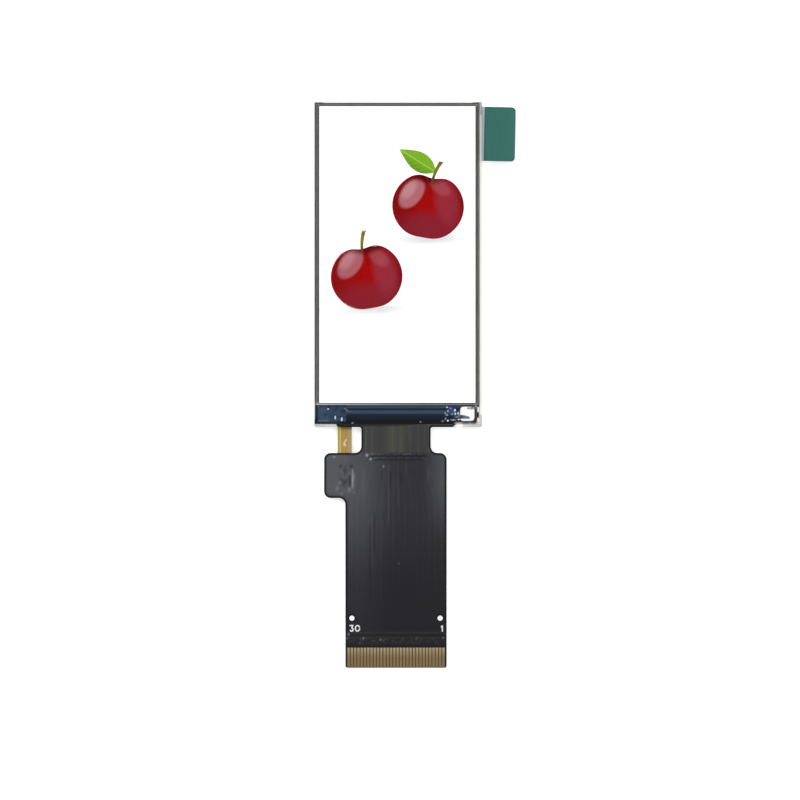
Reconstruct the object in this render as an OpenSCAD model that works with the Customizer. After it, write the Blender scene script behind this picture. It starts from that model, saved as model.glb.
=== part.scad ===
// Small colour TFT display module: an edge-lit backlight in a moulded frame, a glass LCD cell
// with its driver chip on the glass ledge, and a drooping 30-way flex tail.
//
// Frame: +X to the right of the picture, +Y to its top, +Z out of the screen. The origin is the
// centre of the backlight's back face. The module lies on that face and on the tail's stiffener.

/* [Backlight frame] */
// Width of the module over the frame
module_w = 25.8; // [25:0.1:28]
// Length of the module over the frame
module_l = 49.8; // [46:0.1:56]
// Radius of the frame's outer corners
frame_corner_r = 0.3; // [0.1:0.05:0.6]
// Wall of the frame beside the glass, left
wall_left = 0.2; // [0.15:0.01:0.4]
// Wall of the frame beside the glass, right
wall_right = 0.39; // [0.3:0.01:0.6]
// Wall of the frame beside the glass, top
wall_top = 0.2; // [0.15:0.01:0.4]
// Wall of the frame below the glass, under the flex
wall_bottom = 0.45; // [0.35:0.01:0.55]
// Width of the shelf that carries the rim tape, at the sides
shelf_side = 0.35; // [0.25:0.01:0.45]
// Width of the shelf that carries the rim tape, at the top
shelf_top = 0.2; // [0.15:0.01:0.25]
// Width of the step that carries the end of the array glass
glass_rest = 0.35; // [0.25:0.01:0.5]
// Length of a raised corner stop across the module
stop_across = 1.45; // [0.8:0.05:3]
// Length of a raised corner stop along the module
stop_along = 1.95; // [0.8:0.05:3]
// Height of the corner stops below the top of the upper glass
stop_drop = 0.02; // [0:0.01:0.1]
// Clearance between the frame and the glass
glass_gap = 0.14; // [0.06:0.01:0.18]

/* [Backlight stack] */
// Thickness of the reflector sheet on the back
reflector_t = 0.065; // [0.04:0.005:0.1]
// Thickness of the light guide
guide_t = 0.45; // [0.4:0.01:0.6]
// Thickness of the diffuser sheet
diffuser_t = 0.05; // [0.03:0.005:0.08]
// Thickness of each prism sheet
prism_t = 0.06; // [0.045:0.005:0.09]
// Thickness of the rim tape
rim_tape_t = 0.06; // [0.04:0.005:0.08]
// Clearance between the rim tape and the frame's walls, left and top
tape_gap = 0.02; // [0.01:0.01:0.1]
// Clearance between the frame and the guide and sheets
sheet_gap = 0.05; // [0.03:0.01:0.1]
// Width of the lugs that key the guide and sheets into the frame
ear_w = 1.6; // [1:0.1:3]
// Depth of those lugs
ear_d = 0.15; // [0.1:0.01:0.18]
// Distance of the lugs from the top of the frame
ear_from_top = 9; // [6:0.5:14]
// Distance between the two lugs of a side
ear_pitch = 24; // [16:0.5:26]

/* [Light bar] */
// Distance between neighbouring lights
led_pitch = 5.6; // [5:0.1:6]
// Width of a light's housing
led_w = 3; // [2.6:0.1:3.4]
// Depth of a light's housing
led_d = 0.85; // [0.7:0.05:0.95]
// Height of a light's housing
led_h = 0.5; // [0.45:0.01:0.5]
// Wall round the lens of a light
led_wall = 0.12; // [0.08:0.01:0.16]
// Depth of the lens in its housing
lens_d = 0.4; // [0.2:0.05:0.5]
// Clearance behind and in front of the lights
led_gap = 0.05; // [0.03:0.01:0.08]
// Clearance beside the lights, where the frame's posts stand
post_gap = 0.5; // [0.35:0.05:0.7]
// Length of the solder at each end of a light
led_solder_l = 0.25; // [0.15:0.01:0.3]
// Thickness of the amber circuit that carries the lights
led_flex_t = 0.1; // [0.08:0.01:0.12]
// How far that circuit reaches along the module
led_flex_l = 1.75; // [1.6:0.05:1.8]
// How far that circuit's tape reaches over the light guide
led_tape_l = 0.7; // [0.5:0.05:0.75]

/* [Backlight tail] */
// Width of the amber tail
tail_w = 2.2; // [1.8:0.1:2.6]
// Place of the tail's centre line across the module
tail_x = -8.15; // [-8.4:0.05:-7.6]
// Clearance beside the tail and the flex's head in the frame's wall
notch_gap = 0.12; // [0.05:0.01:0.3]
// Length over which the tail rises to the main flex
tail_rise = 5; // [4.2:0.1:5.4]
// Thickness of the solder between the tail and the main flex
tail_solder_t = 0.03; // [0.02:0.005:0.05]
// Width of each tail solder pad
tail_pad_w = 0.7; // [0.4:0.05:0.8]
// Length of each tail solder pad
tail_pad_l = 3; // [2:0.1:3.4]
// How far the tail ends short of the bottom of the flex's side lug
tail_short = 0.6; // [0.3:0.1:1]

/* [Glass cell] */
// Thickness of the lower polariser
lower_pol_t = 0.11; // [0.08:0.01:0.15]
// Thickness of each glass
glass_t = 0.21; // [0.2:0.01:0.3]
// Thickness of the liquid crystal layer
cell_t = 0.03; // [0.02:0.005:0.05]
// Thickness of the upper polariser
upper_pol_t = 0.125; // [0.1:0.005:0.15]
// Distance from the frame's bottom edge to the edge of the upper glass
ledge_l = 3.4; // [3.2:0.05:3.5]
// Dark border below the picture, from the upper glass's edge
border_bottom = 0.32; // [0.3:0.01:1]
// Dark border beside the picture, from the glass's edge
border_side = 0.53; // [0.5:0.01:0.8]
// Dark border above the picture, from the glass's edge
border_top = 0.37; // [0.3:0.01:0.6]
// Width of the seal round the cell
seal_w = 0.22; // [0.15:0.01:0.26]
// How far the polarisers stay inside the edges of the glass
pol_inset = 0.12; // [0.05:0.01:0.2]

/* [Picture] */
// Radius of the fruits in the picture
fruit_r = 5.5; // [4:0.1:6]
// Half the distance between the fruits, across
fruit_dx = 4.7; // [4:0.1:5]
// Half the distance between the fruits, along
fruit_dy = 5.4; // [5:0.1:7]
// Height of the fruits' middle above the middle of the picture
fruit_y = 2; // [-4:0.5:6]
// Length of the leaf
leaf_l = 6.6; // [4:0.1:7]
// Width of the leaf
leaf_w = 3; // [2:0.1:3.4]
// Length of a stalk
stalk_l = 3.4; // [2:0.1:4]
// Width of a stalk
stalk_w = 0.5; // [0.3:0.05:0.8]

/* [Protective film] */
// Thickness of the clear film on the screen
film_t = 0.05; // [0.03:0.01:0.08]
// How far the film stays inside the upper polariser
film_inset = 0.05; // [0:0.01:0.1]
// Width of the green pull tab
tab_w = 4.75; // [3:0.05:8]
// Height of the green pull tab
tab_l = 8.3; // [6:0.1:12]
// Thickness of the pull tab
tab_t = 0.06; // [0.04:0.01:0.1]
// Distance of the tab from the frame's side
tab_gap = 0.3; // [0.1:0.05:1]
// Distance of the tab from the frame's top
tab_from_top = 0.8; // [0.5:0.05:4]
// How far the tab is stuck over the film's ear
tab_overlap = 0.7; // [0.4:0.05:1.5]
// Turn of the tab, stuck on by hand
tab_skew = 1.2; // [0:0.1:3]
// Drop of the tab's free end
tab_droop = 0.25; // [0:0.05:0.6]
// Radius of the tab's outer corners
tab_r = 0.6; // [0.2:0.1:1]

/* [Driver chip] */
// Length of the chip across the module
chip_w = 16; // [14:0.1:17]
// Width of the chip along the module
chip_l = 1; // [0.8:0.05:1.1]
// Thickness of the chip
chip_t = 0.2; // [0.15:0.01:0.22]
// Place of the chip's middle across the module
chip_x = 0.2; // [-0.4:0.1:0.6]
// Place of the chip's middle above the frame's bottom edge
chip_y = 2.3; // [2.15:0.05:2.4]
// Thickness of the conductive bond under the chip and the flex
bond_t = 0.02; // [0.01:0.005:0.03]
// Height that the clear blue coating crowns over its edges
coat_crown = 0.1; // [0.08:0.01:0.12]
// How far the coating stays inside the frame's bottom wall
coat_short = 0.03; // [0.02:0.01:0.1]
// How far the coating stays inside the glass's side edges
coat_inset = 0.25; // [0.1:0.05:0.8]
// Radius of the coating's corners
coat_r = 0.7; // [0.3:0.1:1.2]

/* [Main flex] */
// Thickness of the base film
base_t = 0.06; // [0.05:0.01:0.08]
// Thickness of each black cover film
cover_t = 0.03; // [0.02:0.005:0.04]
// Width of the bonded head
head_w = 18.3; // [17:0.1:19.6]
// How far the head overlaps the glass, from the frame's bottom edge
head_l = 1.45; // [1.2:0.05:1.5]
// Bevel of the head's corners, across
head_bevel_x = 0.6; // [0.5:0.1:2]
// Bevel of the head's corners, along
head_bevel_y = 0.45; // [0.2:0.05:0.6]
// Length of the head that is bare of cover film
head_bare = 0.5; // [0.3:0.05:0.6]
// Width of the neck
neck_w = 10.6; // [9:0.1:12]
// Length of the neck
neck_l = 3.95; // [3:0.05:4.1]
// Place of the strip's centre line across the module
strip_x = -0.3; // [-0.4:0.05:0.4]
// How far the side lug stands out from the strip
lug_out = 3.25; // [2.5:0.05:3.4]
// Length of the side lug
lug_l = 6.9; // [6.5:0.1:8]
// Radius of the flex's corners and fillets
flex_r = 1; // [0.6:0.1:1.2]
// Radius where the neck meets the head
neck_r = 0.3; // [0.1:0.05:0.5]
// Length of the flex beyond the frame
flex_l = 36.85; // [30:0.05:50]
// Radius of the corners at the contact end
end_r = 0.3; // [0.1:0.05:0.4]
// Radius of the two registration holes
hole_r = 0.4; // [0.3:0.05:0.5]
// Distance of the registration holes from the sides of the strip
hole_in = 1; // [0.8:0.05:2]
// Distance of the registration holes from the contact end
hole_up = 7.6; // [6.5:0.1:9]

/* [Contacts] */
// Number of contacts
contacts = 30; // [24:1:30]
// Distance between neighbouring contacts
contact_pitch = 0.5; // [0.48:0.01:0.5]
// Width of a contact
contact_w = 0.35; // [0.25:0.01:0.38]
// Length of a contact
contact_l = 2.95; // [2:0.05:4]
// Thickness of a contact
contact_t = 0.018; // [0.012:0.002:0.03]
// How far the contacts end short of the flex's edge
contact_short = 0.12; // [0.05:0.01:0.3]
// Thickness of the stiffener under the contacts
stiffener_t = 0.18; // [0.15:0.01:0.25]
// Length of the stiffener
stiffener_l = 5.2; // [4.5:0.1:6]

/* [Hidden] */

led_count = 4;      // one node each, so not a size
arc_steps = 8;      // straight steps in a quarter turn
droop_steps = 24;   // straight steps along the drooping flex
rise_steps = 10;    // straight steps along the rising tail
crown_steps = 16;   // straight steps over the coating
curl_steps = 6;     // straight steps along the tab
fruit_steps = 60;   // straight steps round a fruit
leaf_steps = 16;    // straight steps along each side of the leaf
cut = 1;            // how far a cutting shape runs past what it cuts

// Edges of the frame
x_left = -module_w / 2;
x_right = module_w / 2;
y_bottom = -module_l / 2;
y_top = module_l / 2;

// Pocket for the glass, and the glass in it
pocket_x0 = x_left + wall_left;
pocket_x1 = x_right - wall_right;
pocket_y0 = y_bottom + wall_bottom;
pocket_y1 = y_top - wall_top;
glass_x0 = pocket_x0 + glass_gap;
glass_x1 = pocket_x1 - glass_gap;
glass_y0 = pocket_y0 + glass_gap;
glass_y1 = pocket_y1 - glass_gap;
glass_cx = (glass_x0 + glass_x1) / 2;

// Bay for the guide, the sheets and the lights
bay_x0 = pocket_x0 + shelf_side;
bay_x1 = pocket_x1 - shelf_side;
bay_y0 = pocket_y0 + glass_rest;
bay_y1 = pocket_y1 - shelf_top;
led_y0 = bay_y0 + led_gap;
guide_y0 = led_y0 + led_d + led_gap;
led_flex_y1 = bay_y0 + sheet_gap + led_flex_l;
sheet_y0 = led_flex_y1 + sheet_gap;

// Upper glass, lit window
cf_y0 = y_bottom + ledge_l;
lit_x0 = glass_x0 + border_side;
lit_x1 = glass_x1 - border_side;
lit_y0 = cf_y0 + border_bottom;
lit_y1 = glass_y1 - border_top;
lit_cx = (lit_x0 + lit_x1) / 2;
lit_cy = (lit_y0 + lit_y1) / 2;

// Levels, from the back face up
z_guide = reflector_t;
z_diffuser = z_guide + guide_t;
z_prism_1 = z_diffuser + diffuser_t;
z_prism_2 = z_prism_1 + prism_t;
z_rim = z_prism_2 + prism_t;
z_lower_pol = z_rim + rim_tape_t;
z_array = z_lower_pol + lower_pol_t;
z_cell = z_array + glass_t;
z_cf = z_cell + cell_t;
z_upper_pol = z_cf + glass_t;
z_film = z_upper_pol + upper_pol_t;
z_tab = z_film + film_t;
z_led_flex = z_guide + led_h;

// Bonded head and tail of the main flex: heights of the base film's underside
z_bond = z_cell;
z_base_bonded = z_bond + bond_t;
z_base_landed = stiffener_t + cover_t;
landing = flex_l - stiffener_l;
flex_clear = 0.02;
z_wall_under_flex = z_base_bonded - cover_t - flex_clear;

strip_w = contact_pitch * (contacts + 1);
strip_x0 = strip_x - strip_w / 2;
strip_x1 = strip_x + strip_w / 2;
lug_x0 = strip_x0 - lug_out;
neck_x0 = strip_x - neck_w / 2;
neck_x1 = strip_x + neck_w / 2;
head_x0 = strip_x - head_w / 2;
head_x1 = strip_x + head_w / 2;
shoulder_y = y_bottom - neck_l;
lug_y = shoulder_y - lug_l;
end_y = y_bottom - flex_l;
tail_end = neck_l + lug_l - tail_short;

// Shape of the fruits in the picture
dimple_ratio = 0.17;  // depth of the dimple at the stalk over the radius
foot_ratio = 0.06;    // depth of the dimple below over the radius
dimple_angle = 20;    // reach of both dimples round the fruit
squat_ratio = 0.94;   // height over width
fruit_angle = 10;     // turn of the fruits away from each other
leaf_angle = 158;     // direction of the leaf from the stalk
belly_ratio = 0.8;    // under 1 moves the leaf's widest place towards the stalk
stalk_foot = fruit_r * (1 - dimple_ratio) * 0.8;
stalk_lean = stalk_l / 4;

function smooth(t) = t * t * (3 - 2 * t);

// Path of the base film's underside: level on the glass, then it sags in the curve of a strip
// held level at both ends, and lies level again from the stiffener on. s runs down the flex.
flex_path = [for (i = [0 : droop_steps]) let (t = i / droop_steps)
    [landing * t, z_base_bonded - (z_base_bonded - z_base_landed) * smooth(t)]];

// Path of the amber tail's underside: level through the frame's notch, then up to the lug,
// which it follows below the solder.
function under_lug(s) = lookup(s, flex_path) - cover_t - tail_solder_t - led_flex_t;
tail_path = concat(
    [for (i = [0 : rise_steps]) let (t = i / rise_steps)
        [tail_rise * t, z_led_flex + (under_lug(tail_rise * t) - z_led_flex) * smooth(t)]],
    [for (p = flex_path) if (p[0] > tail_rise) [p[0], under_lug(p[0])]]);

// Points of an arc, either way round
function arc(cx, cy, r, from, to) = [for (i = [0 : arc_steps])
    let (a = from + (to - from) * i / arc_steps) [cx + r * cos(a), cy + r * sin(a)]];

// Points of a rectangle with round corners
function rounded(x0, y0, x1, y1, r) = concat(
    arc(x1 - r, y1 - r, r, 0, 90), arc(x0 + r, y1 - r, r, 90, 180),
    arc(x0 + r, y0 + r, r, 180, 270), arc(x1 - r, y0 + r, r, 270, 360));

// Side view of a strip that follows a path: a band of thickness t from s0 to s1
function band(path, s0, s1, lift, t) = let (
        stations = concat([s0], [for (p = path) if (p[0] > s0 && p[0] < s1) p[0]], [s1]),
        last = len(stations) - 1)
    concat([for (s = stations) [y_bottom - s, lookup(s, path) + lift]],
           [for (i = [last : -1 : 0])
               [y_bottom - stations[i], lookup(stations[i], path) + lift + t]]);

module rect(x0, y0, x1, y1) translate([x0, y0]) square([x1 - x0, y1 - y0]);

module plate(x0, y0, x1, y1, z, t) translate([0, 0, z]) linear_extrude(t) rect(x0, y0, x1, y1);

// A strip between x0 and x1 that follows a path
module ribbon(path, x0, x1, s0, s1, lift, t)
    translate([x0, 0, 0]) rotate([90, 0, 90]) linear_extrude(x1 - x0)
        polygon(band(path, s0, s1, lift, t));

// ---- backlight ----

// Outline of the guide and the sheets from y0 up, with the lugs that key them into the frame
module optical_outline(y0, gap) {
    rect(bay_x0 + gap, y0, bay_x1 - gap, bay_y1 - gap);
    for (i = [0, 1]) {
        ear_y = y_top - ear_from_top - i * ear_pitch;
        rect(bay_x0 - ear_d + gap, ear_y - ear_w / 2 + gap,
             bay_x1 + ear_d - gap, ear_y + ear_w / 2 - gap);
    }
}

module sheet(y0, z, t) translate([0, 0, z]) linear_extrude(t) optical_outline(y0, sheet_gap);

module corner_stops() {
    for (x = [x_left, x_right - stop_across], y = [y_bottom, y_top - stop_along])
        translate([x, y]) square([stop_across, stop_along]);
}

module frame_outline() polygon(rounded(x_left, y_bottom, x_right, y_top, frame_corner_r));

// Moulded in one: shelf, thin wall, corner stops, rest for the glass, posts between the lights
module backlight_frame() color("whitesmoke") {
    pocket_top = z_upper_pol + cut;
    difference() {
        union() {
            translate([0, 0, reflector_t]) linear_extrude(z_bond - reflector_t) frame_outline();
            translate([0, 0, reflector_t]) linear_extrude(z_upper_pol - stop_drop - reflector_t)
                intersection() { frame_outline(); corner_stops(); }
        }
        plate(pocket_x0, bay_y0, pocket_x1, pocket_y1, z_rim, pocket_top - z_rim);
        plate(pocket_x0, pocket_y0, pocket_x1, bay_y0 + cut, z_array, pocket_top - z_array);
        translate([0, 0, -cut]) linear_extrude(z_rim + 2 * cut) optical_outline(bay_y0, 0);
        plate(head_x0 - notch_gap, y_bottom - cut, head_x1 + notch_gap, bay_y0 + cut,
              z_wall_under_flex, pocket_top - z_wall_under_flex);
        plate(tail_x - tail_w / 2 - notch_gap, y_bottom - cut,
              tail_x + tail_w / 2 + notch_gap, bay_y0 + cut,
              z_led_flex, pocket_top - z_led_flex);
    }
    post_w = led_pitch - led_w - 2 * post_gap;
    for (i = [1 : led_count - 1])
        translate([led_center(i) - led_pitch / 2 - post_w / 2, bay_y0 - glass_rest / 2, z_guide])
            cube([post_w, glass_rest / 2 + led_gap + led_d, led_h - flex_clear]);
}

module reflector_sheet() color("gainsboro")
    linear_extrude(reflector_t)
        polygon(rounded(x_left + sheet_gap, y_bottom + sheet_gap,
                        x_right - sheet_gap, y_top - sheet_gap, frame_corner_r));

module light_guide() color("azure") sheet(guide_y0, z_guide, guide_t);

module diffuser_sheet() color("white") sheet(sheet_y0, z_diffuser, diffuser_t);

module lower_prism_sheet() color("lightcyan") sheet(sheet_y0, z_prism_1, prism_t);

module upper_prism_sheet() color("aliceblue") sheet(sheet_y0, z_prism_2, prism_t);

// Stuck on off centre, against the left and top walls
module rim_tape() color("dimgray")
    translate([0, 0, z_rim]) linear_extrude(rim_tape_t) difference() {
        rect(pocket_x0 + tape_gap, bay_y0 + sheet_gap, glass_x1, pocket_y1 - tape_gap);
        rect(lit_x0, lit_y0, lit_x1, lit_y1);
    }

// ---- light bar ----

function led_center(i) = glass_cx + (i - (led_count - 1) / 2) * led_pitch;

module lens_shape(i, gap)
    translate([led_center(i) - led_w / 2 + led_wall, led_y0 + led_d - lens_d, z_guide + led_wall])
        cube([led_w - 2 * led_wall, lens_d + gap, led_h - 2 * led_wall]);

module led(i) color("ivory") difference() {
    translate([led_center(i) - led_w / 2, led_y0, z_guide]) cube([led_w, led_d, led_h]);
    lens_shape(i, cut);
}

module phosphor(i) color("gold") lens_shape(i, 0);

// Solder fillets between the lights' end pads and the amber circuit
module led_solder() color("silver")
    for (i = [0 : led_count - 1], side = [-1, 1])
        translate([led_center(i) + side * led_w / 2, led_y0 + led_d - led_wall, z_led_flex])
            rotate([90, 0, 0]) linear_extrude(led_d - 2 * led_wall)
                polygon([[0, 0], [side * led_solder_l, 0], [0, -led_solder_l]]);

module led_flex() color("goldenrod") {
    plate(bay_x0 + sheet_gap, bay_y0 + sheet_gap, bay_x1 - sheet_gap, led_flex_y1,
          z_led_flex, led_flex_t);
    ribbon(tail_path, tail_x - tail_w / 2, tail_x + tail_w / 2,
           y_bottom - bay_y0 - led_flex_l / 2, tail_end, 0, led_flex_t);
}

// Fills the step between the guide and the amber circuit above it
module led_flex_tape() color("white")
    plate(bay_x0 + sheet_gap, led_flex_y1 - led_tape_l, bay_x1 - sheet_gap, led_flex_y1,
          z_diffuser, z_led_flex - z_diffuser);

module tail_solder() color("silver")
    for (side = [-1, 1]) {
        pad_x = tail_x + side * tail_w / 4;
        pad_s = (tail_rise + tail_end) / 2;
        ribbon(flex_path, pad_x - tail_pad_w / 2, pad_x + tail_pad_w / 2,
               pad_s - tail_pad_l / 2, pad_s + tail_pad_l / 2,
               -cover_t - tail_solder_t, tail_solder_t);
    }

// ---- glass cell ----

module lower_polariser() color("darkgray")
    plate(glass_x0 + pol_inset, cf_y0 - pol_inset, glass_x1 - pol_inset, glass_y1 - pol_inset,
          z_lower_pol, lower_pol_t);

module array_glass() color("lightblue")
    plate(glass_x0, glass_y0, glass_x1, glass_y1, z_array, glass_t);

module cell_seal() color("gray")
    translate([0, 0, z_cell]) linear_extrude(cell_t) difference() {
        rect(glass_x0, cf_y0, glass_x1, glass_y1);
        rect(glass_x0 + seal_w, cf_y0 + seal_w, glass_x1 - seal_w, glass_y1 - seal_w);
    }

module black_matrix() color("#202020")
    translate([0, 0, z_cell]) linear_extrude(cell_t) difference() {
        rect(glass_x0 + seal_w, cf_y0 + seal_w, glass_x1 - seal_w, glass_y1 - seal_w);
        rect(lit_x0, lit_y0, lit_x1, lit_y1);
    }

// A round fruit with a deep dimple at the stalk and a shallow one below
function fruit_radius(a) = fruit_r * (1 - dimple_ratio * exp(-pow((a - 90) / dimple_angle, 2))
                                        - foot_ratio * exp(-pow((a - 270) / dimple_angle, 2)));

module fruit_at(side)
    translate([lit_cx + side * fruit_dx, lit_cy + fruit_y + side * fruit_dy])
        rotate(-side * fruit_angle) children();

module fruit_outline()
    polygon([for (i = [0 : fruit_steps - 1]) let (a = 360 * i / fruit_steps)
        fruit_radius(a) * [cos(a), squat_ratio * sin(a)]]);

// Leans over as it rises, and widens from two thirds of its width to four thirds
module stalk_outline() {
    function side(t, way) = [stalk_lean * t * t + way * stalk_w * (1 + t) / 3,
                             stalk_foot + stalk_l * t];
    polygon(concat([for (i = [0 : arc_steps]) side(i / arc_steps, 1)],
                   [for (i = [arc_steps : -1 : 0]) side(i / arc_steps, -1)]));
}

// A leaf from the side of the stalk, widest before its middle and pointed at both ends
module leaf_outline() {
    function side(t, way) = [leaf_l * t, way * leaf_w / 2 * sin(180 * pow(t, belly_ratio))];
    translate([stalk_w / 2, stalk_foot + stalk_l / 2]) rotate(leaf_angle)
        polygon(concat([for (i = [0 : leaf_steps]) side(i / leaf_steps, -1)],
                       [for (i = [leaf_steps - 1 : -1 : 1]) side(i / leaf_steps, 1)]));
}

module fruits_2d() for (side = [-1, 1]) fruit_at(side) fruit_outline();

module stalks_2d() for (side = [-1, 1]) fruit_at(side) stalk_outline();

module leaf_2d() fruit_at(1) leaf_outline();

module picture_layer() translate([0, 0, z_cell]) linear_extrude(cell_t) children();

// The lit white field, with the picture's fields of colour let into it
module lit_field() color("white") picture_layer() difference() {
    rect(lit_x0, lit_y0, lit_x1, lit_y1);
    fruits_2d();
    stalks_2d();
    leaf_2d();
}

module picture_fruits() color("firebrick") picture_layer() difference() {
    fruits_2d();
    stalks_2d();
    leaf_2d();
}

module picture_stalks() color("saddlebrown") picture_layer() stalks_2d();

module picture_leaf() color("olivedrab") picture_layer() difference() {
    leaf_2d();
    stalks_2d();
}

module colour_filter_glass() color("lightblue")
    plate(glass_x0, cf_y0, glass_x1, glass_y1, z_cf, glass_t);

module upper_polariser() color("slategray")
    plate(glass_x0 + pol_inset, cf_y0 + pol_inset, glass_x1 - pol_inset, glass_y1 - pol_inset,
          z_upper_pol, upper_pol_t);

// ---- protective film and pull tab ----

film_x0 = glass_x0 + pol_inset + film_inset;
film_x1 = glass_x1 - pol_inset - film_inset;
film_y0 = cf_y0 + pol_inset + film_inset;
film_y1 = glass_y1 - pol_inset - film_inset;
tab_x0 = x_right + tab_gap;
tab_y1 = y_top - tab_from_top;

module protective_film() color("aliceblue")
    translate([0, 0, z_film]) linear_extrude(film_t) {
        rect(film_x0, film_y0, film_x1, film_y1);
        rect(film_x1 - cut, tab_y1 - tab_l, tab_x0 + tab_overlap, tab_y1);
    }

function tab_under(t) = z_tab - tab_droop * t * t;

// Lies level where it is stuck on the film's ear, and its free end sags
module pull_tab() color("seagreen") {
    level = tab_overlap + tab_l * sin(tab_skew);
    free = tab_w - level;
    side_view = concat(
        [[0, z_tab], [0, z_tab + tab_t]],
        [for (i = [0 : curl_steps]) let (t = i / curl_steps)
            [level + free * t, tab_under(t) + tab_t]],
        [for (i = [curl_steps : -1 : 0]) let (t = i / curl_steps)
            [level + free * t, tab_under(t)]]);
    translate([tab_x0, tab_y1 - tab_l / 2, 0]) rotate(-tab_skew) intersection() {
        translate([0, tab_l / 2, 0]) rotate([90, 0, 0]) linear_extrude(tab_l)
            polygon(side_view);
        linear_extrude(z_tab + cut)
            polygon(concat([[0, -tab_l / 2]],
                           arc(tab_w - tab_r, -tab_l / 2 + tab_r, tab_r, 270, 360),
                           arc(tab_w - tab_r, tab_l / 2 - tab_r, tab_r, 0, 90),
                           [[0, tab_l / 2]]));
    }
}

// ---- chip on the ledge ----

chip_y0 = y_bottom + chip_y - chip_l / 2;

module driver_chip() color("darkslategray")
    plate(chip_x - chip_w / 2, chip_y0, chip_x + chip_w / 2, chip_y0 + chip_l,
          z_bond + bond_t, chip_t);

module chip_bond_film() color("darkkhaki")
    plate(chip_x - chip_w / 2, chip_y0, chip_x + chip_w / 2, chip_y0 + chip_l, z_bond, bond_t);

module flex_bond_film() color("darkkhaki")
    plate(head_x0, glass_y0, head_x1, y_bottom + head_l, z_bond, bond_t);

// Clear blue resin: run up to the upper glass, crowned over the chip and lapped on the flex
module ledge_coating() color("midnightblue") difference() {
    coat_y0 = pocket_y0 + coat_short;
    z_front = z_base_bonded + base_t + 2 * cover_t;
    z_back = z_upper_pol - cover_t;
    crown = [for (i = [0 : crown_steps]) let (t = i / crown_steps)
        [coat_y0 + (cf_y0 - coat_y0) * t,
         z_front + (z_back - z_front) * t + coat_crown * sin(180 * t)]];
    intersection() {
        translate([glass_x0, 0, 0]) rotate([90, 0, 90]) linear_extrude(glass_x1 - glass_x0)
            polygon(concat([[cf_y0, z_bond], [glass_y0, z_bond], [glass_y0, z_base_bonded],
                            [coat_y0, z_base_bonded]], crown));
        linear_extrude(z_film)
            polygon(rounded(glass_x0 + coat_inset, coat_y0, glass_x1 - coat_inset,
                            cf_y0 + coat_r, coat_r));
    }
    plate(chip_x - chip_w / 2, chip_y0, chip_x + chip_w / 2, chip_y0 + chip_l,
          z_bond, bond_t + chip_t);
    plate(head_x0, y_bottom, head_x1, y_bottom + head_l, z_bond, bond_t + base_t);
    plate(head_x0, y_bottom, head_x1, y_bottom + head_l - head_bare, z_bond,
          bond_t + base_t + cover_t);
}

// ---- main flex ----

// Head, neck, strip and side lug, drawn once round from the head's top right corner
module flex_outline() polygon(concat(
    [[head_x1, y_bottom + head_l], [head_x0, y_bottom + head_l],
     [head_x0, y_bottom + head_bevel_y], [head_x0 + head_bevel_x, y_bottom]],
    arc(neck_x0 - neck_r, y_bottom - neck_r, neck_r, 90, 0),
    arc(neck_x0 - flex_r, shoulder_y + flex_r, flex_r, 0, -90),
    arc(lug_x0 + flex_r, shoulder_y - flex_r, flex_r, 90, 180),
    arc(lug_x0 + flex_r, lug_y + flex_r, flex_r, 180, 270),
    arc(strip_x0 - flex_r, lug_y - flex_r, flex_r, 90, 0),
    arc(strip_x0 + end_r, end_y + end_r, end_r, 180, 270),
    arc(strip_x1 - end_r, end_y + end_r, end_r, 270, 360),
    arc(strip_x1 - flex_r, shoulder_y - flex_r, flex_r, 0, 90),
    arc(neck_x1 + flex_r, shoulder_y + flex_r, flex_r, 270, 180),
    arc(neck_x1 + neck_r, y_bottom - neck_r, neck_r, 180, 90),
    [[head_x1 - head_bevel_x, y_bottom], [head_x1, y_bottom + head_bevel_y]]));

// One film of the flex between two places along it, with the registration holes
module flex_layer(s0, s1, lift, t) difference() {
    intersection() {
        linear_extrude(z_film) flex_outline();
        ribbon(flex_path, lug_x0 - cut, head_x1 + cut, s0, s1, lift, t);
    }
    for (x = [strip_x0 + hole_in, strip_x1 - hole_in])
        translate([x, end_y + hole_up, -cut])
            cylinder(h = z_film + 2 * cut, r = hole_r, $fn = 48);
}

module flex_base_film() color("darkgoldenrod") flex_layer(-head_l, flex_l, 0, base_t);

module flex_cover_film() color("#2b2a2e")
    flex_layer(head_bare - head_l, flex_l - contact_short - contact_l, base_t, cover_t);

module flex_back_film() color("#2b2a2e")
    flex_layer(-wall_bottom, flex_l, -cover_t, cover_t);

module contact_fingers() color("peru")
    for (i = [0 : contacts - 1])
        translate([strip_x + (i - (contacts - 1) / 2) * contact_pitch - contact_w / 2,
                   end_y + contact_short, z_base_landed + base_t])
            cube([contact_w, contact_l, contact_t]);

module contact_stiffener() color("#26262a")
    intersection() {
        linear_extrude(stiffener_t) flex_outline();
        plate(strip_x0, end_y, strip_x1, end_y + stiffener_l, 0, stiffener_t);
    }

backlight_frame();
reflector_sheet();
light_guide();
diffuser_sheet();
lower_prism_sheet();
upper_prism_sheet();
rim_tape();
led_flex();
led_flex_tape();
led_solder();
led(0);  // led_1
led(1);  // led_2
led(2);  // led_3
led(3);  // led_4
phosphor(0);  // phosphor_1
phosphor(1);  // phosphor_2
phosphor(2);  // phosphor_3
phosphor(3);  // phosphor_4
lower_polariser();
array_glass();
cell_seal();
black_matrix();
lit_field();
picture_fruits();
picture_stalks();
picture_leaf();
colour_filter_glass();
upper_polariser();
protective_film();
pull_tab();
driver_chip();
chip_bond_film();
flex_bond_film();
ledge_coating();
flex_base_film();
flex_cover_film();
flex_back_film();
contact_fingers();
contact_stiffener();
tail_solder();
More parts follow.
